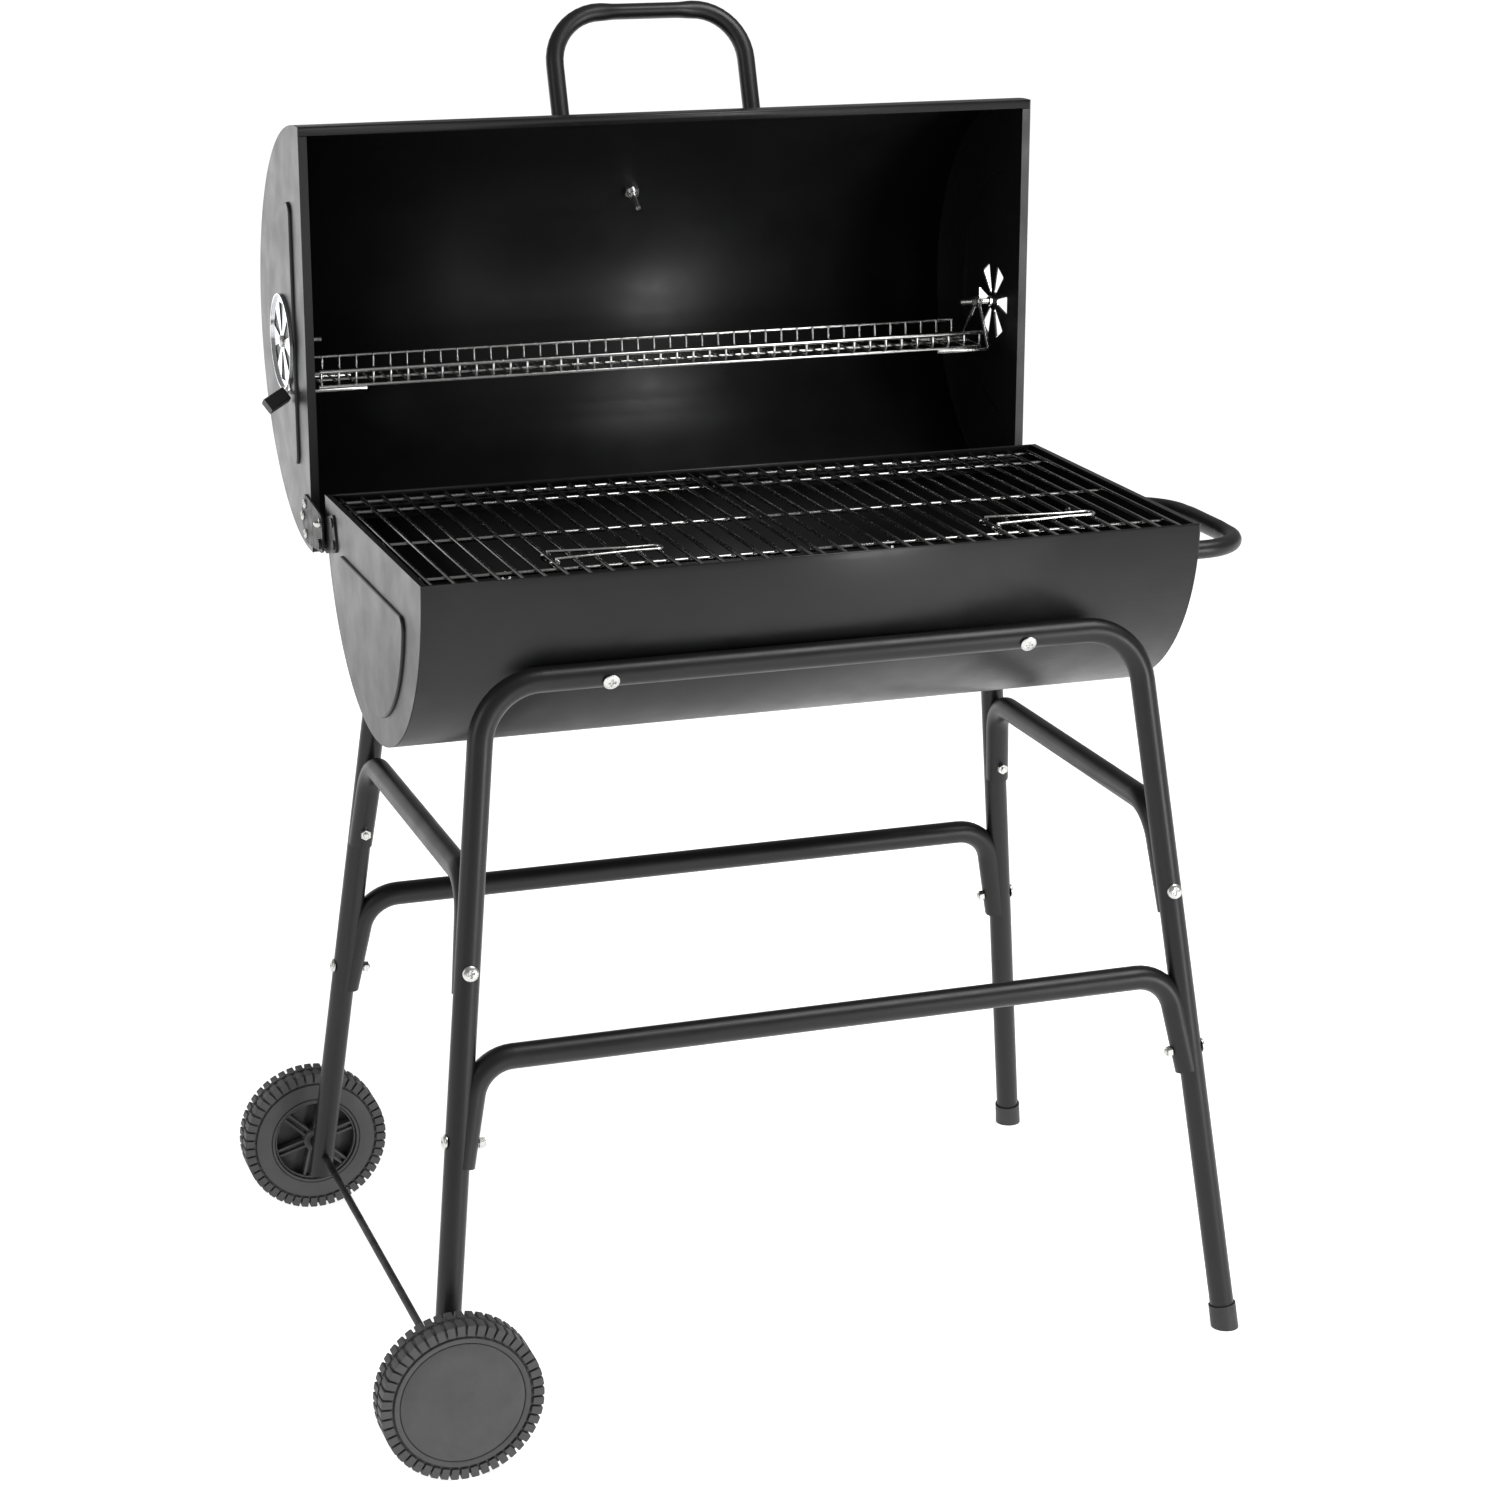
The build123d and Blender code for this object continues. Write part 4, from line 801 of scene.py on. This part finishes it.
def wheel_parts(centre, outward, radius, width, settings):
    """The wheel's turned and repeated shapes about its axle line. Outlines are (distance from the axle,
    place along it), in millimetres; a place is counted from the wheel's middle, and the cover's side
    is positive."""
    half = width / 2
    base = radius - settings.lug_height

    def turned(points, corner, segments=96):
        outline = rounded(np.array(points) * MM, corner * MM)
        return lathe(outline, centre, outward, segments)

    r, h = base / MM, half / MM
    cover_side = [(62, h - 1.4), (66.6, h - 0.7), (67.6, h - 3.6), (r - 1.5, h - 4.6), (r, h - 9)]
    groove = [(r, 2), (r - 3.4, 1.2), (r - 3.4, -1.2), (r, -2)]
    open_side = [(r, 9 - h), (r - 1.5, 4.6 - h), (67.6, 3.6 - h), (66.6, 0.7 - h), (50.6, 0.6 - h)]
    well = [(50.0, 1.6 - h), (47, 3.2 - h), (45.2, 3.5), (60, 3.5), (60.8, h - 3.4)]
    outer_bead = [(46.4, 0.2 - h), (49.2, 0.2 - h), (49.2, 3.4 - h), (46.4, 3.4 - h)]
    inner_bead = [(43.6, 3.0 - h), (46.0, 3.0 - h), (46.0, 5.4 - h), (43.6, 5.4 - h)]
    web = [(HUB_BORE, 1.0), (RIM_EDGE, 1.0), (RIM_EDGE, 4.2), (HUB_BORE, 4.2)]
    hub = [(HUB_BORE, 0.2 - h), (11.5, 0.2 - h), (13, 2.0 - h), (13.6, 2.0), (HUB_BORE, 2.0)]
    parts = [
        turned(cover_side + groove + open_side + well, 0.3),
        turned(outer_bead, 1.1),
        turned(inner_bead, 0.9),
        turned(web, 0.3),
        turned(hub, 0.5, 48),
    ]

    u = unit(np.cross(outward, Z))
    v = np.cross(outward, u)
    count = settings.lugs
    pitch = 2 * math.pi / count
    deep = 10.5 * MM
    across = base * pitch * 0.385
    narrow = across * (1 - deep / radius)
    bottom, top = -deep, -0.7 * MM
    tread = [(-across, -1.5 * MM), (across, -1.5 * MM), (across * 0.86, 0), (-across * 0.86, 0)]
    tread = rounded(tread, 0.4 * MM, 3)
    shoulder = [(-narrow, bottom), (narrow, bottom), (across, top), (-across, top)]
    shoulder = rounded(shoulder, 0.6 * MM, 3)
    crown = centre + v * (radius - 0.1 * MM)
    for row, phase in ((1, 0.0), (-1, 0.5)):
        moves = turns((np.arange(count) + phase) * pitch, outward, centre)
        for outline, inner, outer in ((tread, 2.2 * MM, 0.5 * MM), (shoulder, half - 9 * MM, 0.4 * MM)):
            edge = sorted((row * inner, row * (half - outer)))
            parts.append(repeated(slab(outline, edge, crown, u, v), moves))

    angles = np.arange(settings.spokes) * 2 * math.pi / settings.spokes + math.radians(14)
    moves = turns(angles, outward, centre)
    for middle in (-3.4, 3.4):
        rib = [(middle - 1.3, 11), (middle + 1.3, 11), (middle + 1.2, 47), (middle - 1.2, 47)]
        rib = rounded(np.array(rib) * MM, 0.5 * MM, 3)
        parts.append(repeated(slab(rib, (5 * MM - half, 2 * MM), centre, u, v), moves))
    fin = rounded(np.array([(-3.4, 11), (3.4, 11), (3.2, 46.5), (-3.2, 46.5)]) * MM, 0.4 * MM, 3)
    parts.append(repeated(slab(fin, (9 * MM - half, 2 * MM), centre, u, v), moves))
    return joined(parts)


class GRILL_OT_wheels(bpy.types.Operator):
    """Make the two moulded wheels and their cover discs"""

    bl_idname = "grill.wheels"
    bl_label = "Wheels"

    def execute(self, context):
        settings = context.scene.grill_wheels
        for end, way in (("front", -1.0), ("rear", 1.0)):
            low, high = low_high(f"wheel_{end}")
            centre = (low + high) / 2
            radius = (high[2] - low[2]) / 2
            width = high[1] - low[1]
            outward = Y * way
            part = wheel_parts(centre, outward, radius, width, settings)
            wheel = mesh_object(f"moulded_wheel_{end}", part, finish("wheel_plastic"), 32.0)
            place(wheel, f"{end}_wheel", "wheel_plastic", f"wheel_{end}")
            face = width / 2 / MM
            outline = [(0, face - 0.9), (20, face - 0.9), (45, face - 0.95), (59.5, face - 1.2)]
            outline += [(60.8, face - 1.9), (RIM_EDGE, face - 3.4), (30, face - 3.4), (0, face - 3.4)]
            disc = lathe(np.array(outline) * MM, centre, outward, 96, closed=False)
            cover = mesh_object(f"wheel_disc_{end}", disc, finish("wheel_plastic"), 32.0)
            place(cover, f"{end}_wheel", "wheel_plastic", f"wheel_cover_{end}")
        return {"FINISHED"}


# ------------------------------------------------------------------ handles

HANDLE_BEND = 56.0 * MM
LID_HANDLE_BACK = 75.0 * MM


def grip_handle(left, right, out, reach, radius, flat):
    """A U of tube: its middle run is pressed flatter by the given share, easing in and out along the
    run, and each foot flares into a small ring."""
    along_run = unit(right - left)
    tops = [left + out * (reach - radius), right + out * (reach - radius)]
    steps = 12
    route = bent([left, tops[0], tops[1], right], HANDLE_BEND, steps)
    inner = np.linspace(route[steps], route[steps + 1], 22)[1:-1]
    route = np.concatenate([route[:steps + 1], inner, route[steps + 1:]])
    place_along = (route - (left + right) / 2) @ along_run
    span = np.linalg.norm(right - left) / 2 - HANDLE_BEND
    ease = np.clip((span - np.abs(place_along)) / (18 * MM), 0, 1)
    ease = ease * ease * (3 - 2 * ease)
    on_top = (route - left) @ out > reach - radius - 1 * MM
    wide = 1.0 + flat * ease * on_top
    normal = unit(np.cross(along_run, out))
    parts = [tube(route, radius, normal, 32, wide, domed=False)]
    collar = [(radius - 0.5 * MM, 0.0), (radius + 1.6 * MM, 0.0), (radius + 1.6 * MM, 1.2 * MM)]
    collar += [(radius + 0.4 * MM, 2.6 * MM), (radius - 0.5 * MM, 2.6 * MM)]
    for foot in (left, right):
        parts.append(lathe(collar, foot, out, 40))
        plug = [(0.0, 0.0), (radius - 0.2 * MM, 0.0), (radius - 0.2 * MM, 6 * MM), (0.0, 6 * MM)]
        parts.append(lathe(plug, foot, out, 40, closed=False))
    return joined(parts)


class GRILL_OT_handles(bpy.types.Operator):
    """Make the lid's handle and the side handle"""

    bl_idname = "grill.handles"
    bl_label = "Handles"

    def execute(self, context):
        low, high = low_high("side_handle")
        radius = (high[2] - low[2]) / 2
        level = (low[2] + high[2]) / 2
        reach = high[0] - low[0]
        left = np.array([low[0], low[1] + radius, level])
        right = np.array([low[0], high[1] - radius, level])
        part = grip_handle(left, right, X, reach, radius, 0.12)
        side = mesh_object("side_handle_tube", part, finish("powder_coat"), 40.0)
        place(side, "stand_and_bowl", "black_paint", "side_handle")

        low, high = low_high("lid_handle")
        axis = np.array([0.0, LID_AXIS_Y, LID_Z])
        tilt = math.acos(LID_HANDLE_BACK / LID_RADIUS)
        out = np.array([0.0, math.cos(tilt), math.sin(tilt)])
        foot = axis + out * (LID_RADIUS + 0.05 * MM)
        reach = (high[2] - radius - foot[2]) / math.sin(tilt) + radius
        left = foot + X * (low[0] + radius)
        right = foot + X * (high[0] - radius)
        part = grip_handle(left, right, out, reach, radius, 0.16)
        top = mesh_object("lid_handle_tube", part, finish("powder_coat"), 40.0)
        place(top, "lid", "black_paint", "lid_handle")
        return {"FINISHED"}


# ------------------------------------------------------------------ fasteners

def pan_head(tip, axis, radius, height, length, shank):
    """A pan-head screw in one turned skin: the head's outline is a quarter ellipse over a short
    straight rim, and a cross is pressed into it where either of two bars, each a smooth step across
    and along, is present."""
    rim = height * 0.3
    bow = np.linspace(0, math.pi / 2, 15)
    crown_r = radius * np.sin(bow)
    crown_z = -(height - rim) * (1 - np.cos(bow))
    segments = 48
    angle = np.linspace(0, 2 * math.pi, segments, endpoint=False)
    x, y = crown_r[:, None] * np.cos(angle), crown_r[:, None] * np.sin(angle)
    wide, reach, soft = radius * 0.11, radius * 0.5, radius * 0.07

    def step(value, edge):
        return np.clip((edge - np.abs(value)) / soft + 0.5, 0, 1)

    cross = np.maximum(step(x, wide) * step(y, reach), step(y, wide) * step(x, reach))
    deep = np.minimum(height * 0.75, 1.8 * MM)
    crown = crown_z[:, None] - cross * deep * (1 - 0.35 * crown_r[:, None] / reach)
    across = unit(np.cross(axis, Z if abs(axis[2]) < 0.9 else X))
    other = np.cross(axis, across)
    spoke = np.cos(angle)[:, None] * across + np.sin(angle)[:, None] * other
    top = tip + crown_r[:, None, None] * spoke[None] + crown[..., None] * axis
    rest_r = np.array([radius, radius * 0.96, shank, shank, shank * 0.75, 0.0])
    rest_z = np.array([-(height - 0.12 * MM), -height, -height, -length + 0.6 * MM, -length, -length])
    rest = tip + rest_r[:, None, None] * spoke[None] + rest_z[:, None, None] * axis
    return skin(np.concatenate([top, rest]), around_v=True)


VENT_PIN_RADIUS = 2.9 * MM


def threaded_pin(tip, axis, radius, head, length, shank):
    """A pin with a domed head and a threaded end: its outline is a quarter ellipse, a plain shank and
    then a saw tooth of equal steps, turned round the axis."""
    bow = np.linspace(0, math.pi / 2, 8)
    crown = np.column_stack([radius * np.sin(bow), -head * 0.6 * (1 - np.cos(bow))])
    start, pitch = -length * 0.45, 1.0 * MM
    steps = np.arange(start, -length + pitch, -pitch / 2)
    deep = np.where(np.arange(len(steps)) % 2 == 0, shank, shank - 0.45 * MM)
    thread = np.column_stack([deep, steps])
    plain = [(radius, -head), (shank, -head), (shank, start + 0.2 * MM)]
    end = [(shank - 0.8 * MM, -length), (0.0, -length)]
    return lathe(np.concatenate([crown, plain, thread, end]), tip, axis, 20, closed=False)


class GRILL_OT_fasteners(bpy.types.Operator):
    """Make the pan-head screws and bolts with their cross recesses"""

    bl_idname = "grill.fasteners"
    bl_label = "Fasteners"

    def execute(self, context):
        rows = (
            ("stretcher_bolts", "stand_and_bowl", "zinc", "zinc_steel"),
            ("bowl_bolts", "stand_and_bowl", "zinc", "zinc_steel"),
            ("stop_screws", "lid", "zinc", "zinc_steel"),
            ("lid_bracket_screws", "lid", "zinc", "zinc_steel"),
            ("lid_handle_screws", "lid", "zinc", "zinc_steel"),
            ("side_handle_screws", "stand_and_bowl", "zinc", "zinc_steel"),
        )
        for node, body, material, slot in rows:
            parts = []
            for points in islands(node):
                tip, axis, radius, head, length = bolt_line(points)
                offset = points - tip
                away = np.linalg.norm(offset - (offset @ axis)[:, None] * axis, axis=1)
                shank = away[offset @ axis < -length + 1e-4].max()
                parts.append(pan_head(tip, axis, radius, head, length, shank))
            piece = mesh_object(f"{node}_pan_heads", joined(parts), finish(material), 30.0)
            place(piece, body, slot, node)
        parts = []
        for points in islands("vent_pins"):
            tip, axis, radius, head, length = bolt_line(points)
            parts.append(threaded_pin(tip, axis, radius, head, length + 8 * MM, VENT_PIN_RADIUS))
        pins = mesh_object("vent_pins_threaded", joined(parts), finish("zinc"), 50.0)
        place(pins, "lid", "zinc_steel", "vent_pins")
        return {"FINISHED"}


# ------------------------------------------------------------------ thermometer

class GRILL_OT_dial(bpy.types.Operator):
    """Print the scale on the thermometer's dial: long and short strokes and a coloured band"""

    bl_idname = "grill.dial"
    bl_label = "Thermometer scale"

    def execute(self, context):
        axis = unit(joint_row("pointer_turn", "axis"))
        outer, inner = low_high("thermometer_glass")[1], low_high("thermometer_dial")[1]
        axis = axis * np.sign((outer - inner) @ axis)
        points = islands("thermometer_dial")[0]
        level = (points @ axis).max()
        face = points[points @ axis > level - 2e-5]
        centre = (face.max(0) + face.min(0)) / 2
        radius = np.linalg.norm(face - centre, axis=1).max()
        up = unit(np.cross(axis, X))
        up = up * np.sign(up[2])
        right = np.cross(up, axis)
        height = (0.02 * MM, 0.16 * MM)

        def strokes(angles, start, stop, half_width):
            """Radial strokes at the angles; their sizes are shares of the dial's radius."""
            corners = [(-half_width, start), (half_width, start), (half_width, stop), (-half_width, stop)]
            stroke = slab(np.array(corners) * radius, height, centre, -right, up)
            return repeated(stroke, turns(angles, -axis, centre))

        sweep = np.radians(np.linspace(-135, 135, 46))
        long = np.arange(len(sweep)) % 5 == 0
        parts = [strokes(sweep[long], 0.68, 0.88, 0.016), strokes(sweep[~long], 0.78, 0.88, 0.009)]
        marks = mesh_object("dial_strokes", joined(parts), finish("dial_black"), 30.0)
        place(marks, "lid", "dial_enamel")
        bend = np.radians(np.linspace(-10, 100, 40))[:, None]
        spoke = (np.sin(bend) * right + np.cos(bend) * up) * radius
        section = ((0.66, 0), (0.66, 1), (0.60, 1), (0.60, 0))
        loop = np.stack([centre + spoke * away + axis * height[side] for away, side in section], 1)
        ends = loop[[0, -1]].mean(1, keepdims=True).repeat(4, 1)
        strip = skin(np.concatenate([ends[:1], loop, ends[1:]]), around_v=True)
        band = mesh_object("dial_band", strip, finish("needle_red"), 30.0)
        place(band, "lid", "needle_red")
        return {"FINISHED"}


# ------------------------------------------------------------------ stage

FLOOR_REACH = 40.0
FLOOR_GLOW = 0.82
ROOM_GLOW = 0.28


def area_light(name, spot, target, size, power):
    """A soft rectangular light that looks at a point."""
    lamp = bpy.data.lights.new(name, "AREA")
    lamp.shape = "RECTANGLE"
    lamp.size, lamp.size_y = size
    lamp.energy = power
    made = bpy.data.objects.new(name, lamp)
    made.location = spot
    look = (Vector(target) - Vector(spot)).normalized()
    made.rotation_euler = look.to_track_quat("-Z", "Y").to_euler()
    made.visible_camera = False
    bpy.context.scene.collection.objects.link(made)
    return made


class GRILL_OT_stage(bpy.types.Operator):
    """Make the plain floor, the soft light and the camera"""

    bl_idname = "grill.stage"
    bl_label = "Stage"

    def execute(self, context):
        stage = context.scene.grill_stage
        material, tree, surface, at = shader("floor_paper")
        tone = ranged(tree, noise(tree, at, 3.0, 2.0), 0.0, 1.0)
        colour = tuple(stage.floor)
        tree.links.new(mixed(tree, tone, shaded(colour, 0.99), colour), surface.inputs["Base Color"])
        surface.inputs["Roughness"].default_value = 0.9
        surface.inputs["Specular IOR Level"].default_value = 0.1
        surface.inputs["Emission Color"].default_value = (1.0, 1.0, 1.0, 1.0)
        surface.inputs["Emission Strength"].default_value = FLOOR_GLOW
        ends = np.array([-1.0, 1.0]) * FLOOR_REACH
        corners = np.stack(np.meshgrid(ends, ends, 0.0, indexing="ij"), -1)[:, :, 0]
        floor = mesh_object("floor", skin(corners), material, recalculate=False)
        world = bpy.data.worlds.new("studio")
        world.use_nodes = True
        room = world.node_tree.nodes["Background"]
        room.inputs["Color"].default_value = (1.0, 1.0, 1.0, 1.0)
        room.inputs["Strength"].default_value = ROOM_GLOW
        context.scene.world = world
        middle = (0.0, 0.0, 0.75)
        area_light("rear_left_softbox", (-1.15, 2.9, 0.8), (-0.5, 0.1, 0.9), (1.8, 2.0), 11.0)
        area_light("left_softbox", (-2.8, -0.8, 1.6), middle, (1.0, 1.8), 14.0)
        area_light("top_softbox", (1.15, -0.9, 3.0), middle, (1.5, 1.3), 48.0)
        area_light("front_softbox", (2.0, -3.0, 0.7), middle, (0.7, 1.5), 42.0)
        camera = bpy.data.cameras.new("camera")
        camera.lens = stage.lens
        camera.sensor_width = 36.0
        made = bpy.data.objects.new("camera", camera)
        made.location = stage.eye
        made.rotation_euler = (math.pi / 2 - stage.elevation, 0.0, stage.azimuth)
        context.scene.collection.objects.link(made)
        context.scene.camera = made
        context.scene.view_settings.view_transform = "Standard"
        return {"FINISHED"}


# ------------------------------------------------------------------ add-on

STEPS = (
    GRILL_OT_finishes,
    GRILL_OT_drum,
    GRILL_OT_grates,
    GRILL_OT_lifters,
    GRILL_OT_rack,
    GRILL_OT_wheels,
    GRILL_OT_handles,
    GRILL_OT_fasteners,
    GRILL_OT_dial,
    GRILL_OT_stage,
)


class GRILL_PT_panel(bpy.types.Panel):
    """The grill's pieces in the sidebar"""

    bl_label = "Barrel grill"
    bl_idname = "GRILL_PT_panel"
    bl_space_type = "VIEW_3D"
    bl_region_type = "UI"
    bl_category = "Grill"

    def draw(self, context):
        scene = context.scene
        for group in (scene.grill_colours, scene.grill_wires, scene.grill_wheels, scene.grill_stage):
            box = self.layout.box()
            for name in group.__annotations__:
                box.prop(group, name)
        for step in STEPS:
            self.layout.operator(step.bl_idname)


GROUPS = {
    "grill_colours": GrillColours,
    "grill_wires": GrillWires,
    "grill_wheels": GrillWheels,
    "grill_stage": GrillStage,
}


def register():
    for name, group in GROUPS.items():
        bpy.utils.register_class(group)
        setattr(bpy.types.Scene, name, PointerProperty(type=group))
    for step in (*STEPS, GRILL_PT_panel):
        bpy.utils.register_class(step)


def unregister():
    for step in reversed((*STEPS, GRILL_PT_panel)):
        bpy.utils.unregister_class(step)
    for name, group in reversed(GROUPS.items()):
        delattr(bpy.types.Scene, name)
        bpy.utils.unregister_class(group)


def main():
    """Register the add-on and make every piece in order."""
    register()
    for step in STEPS:
        group, name = step.bl_idname.split(".")
        getattr(getattr(bpy.ops, group), name)()


if __name__ == "__main__":
    main()
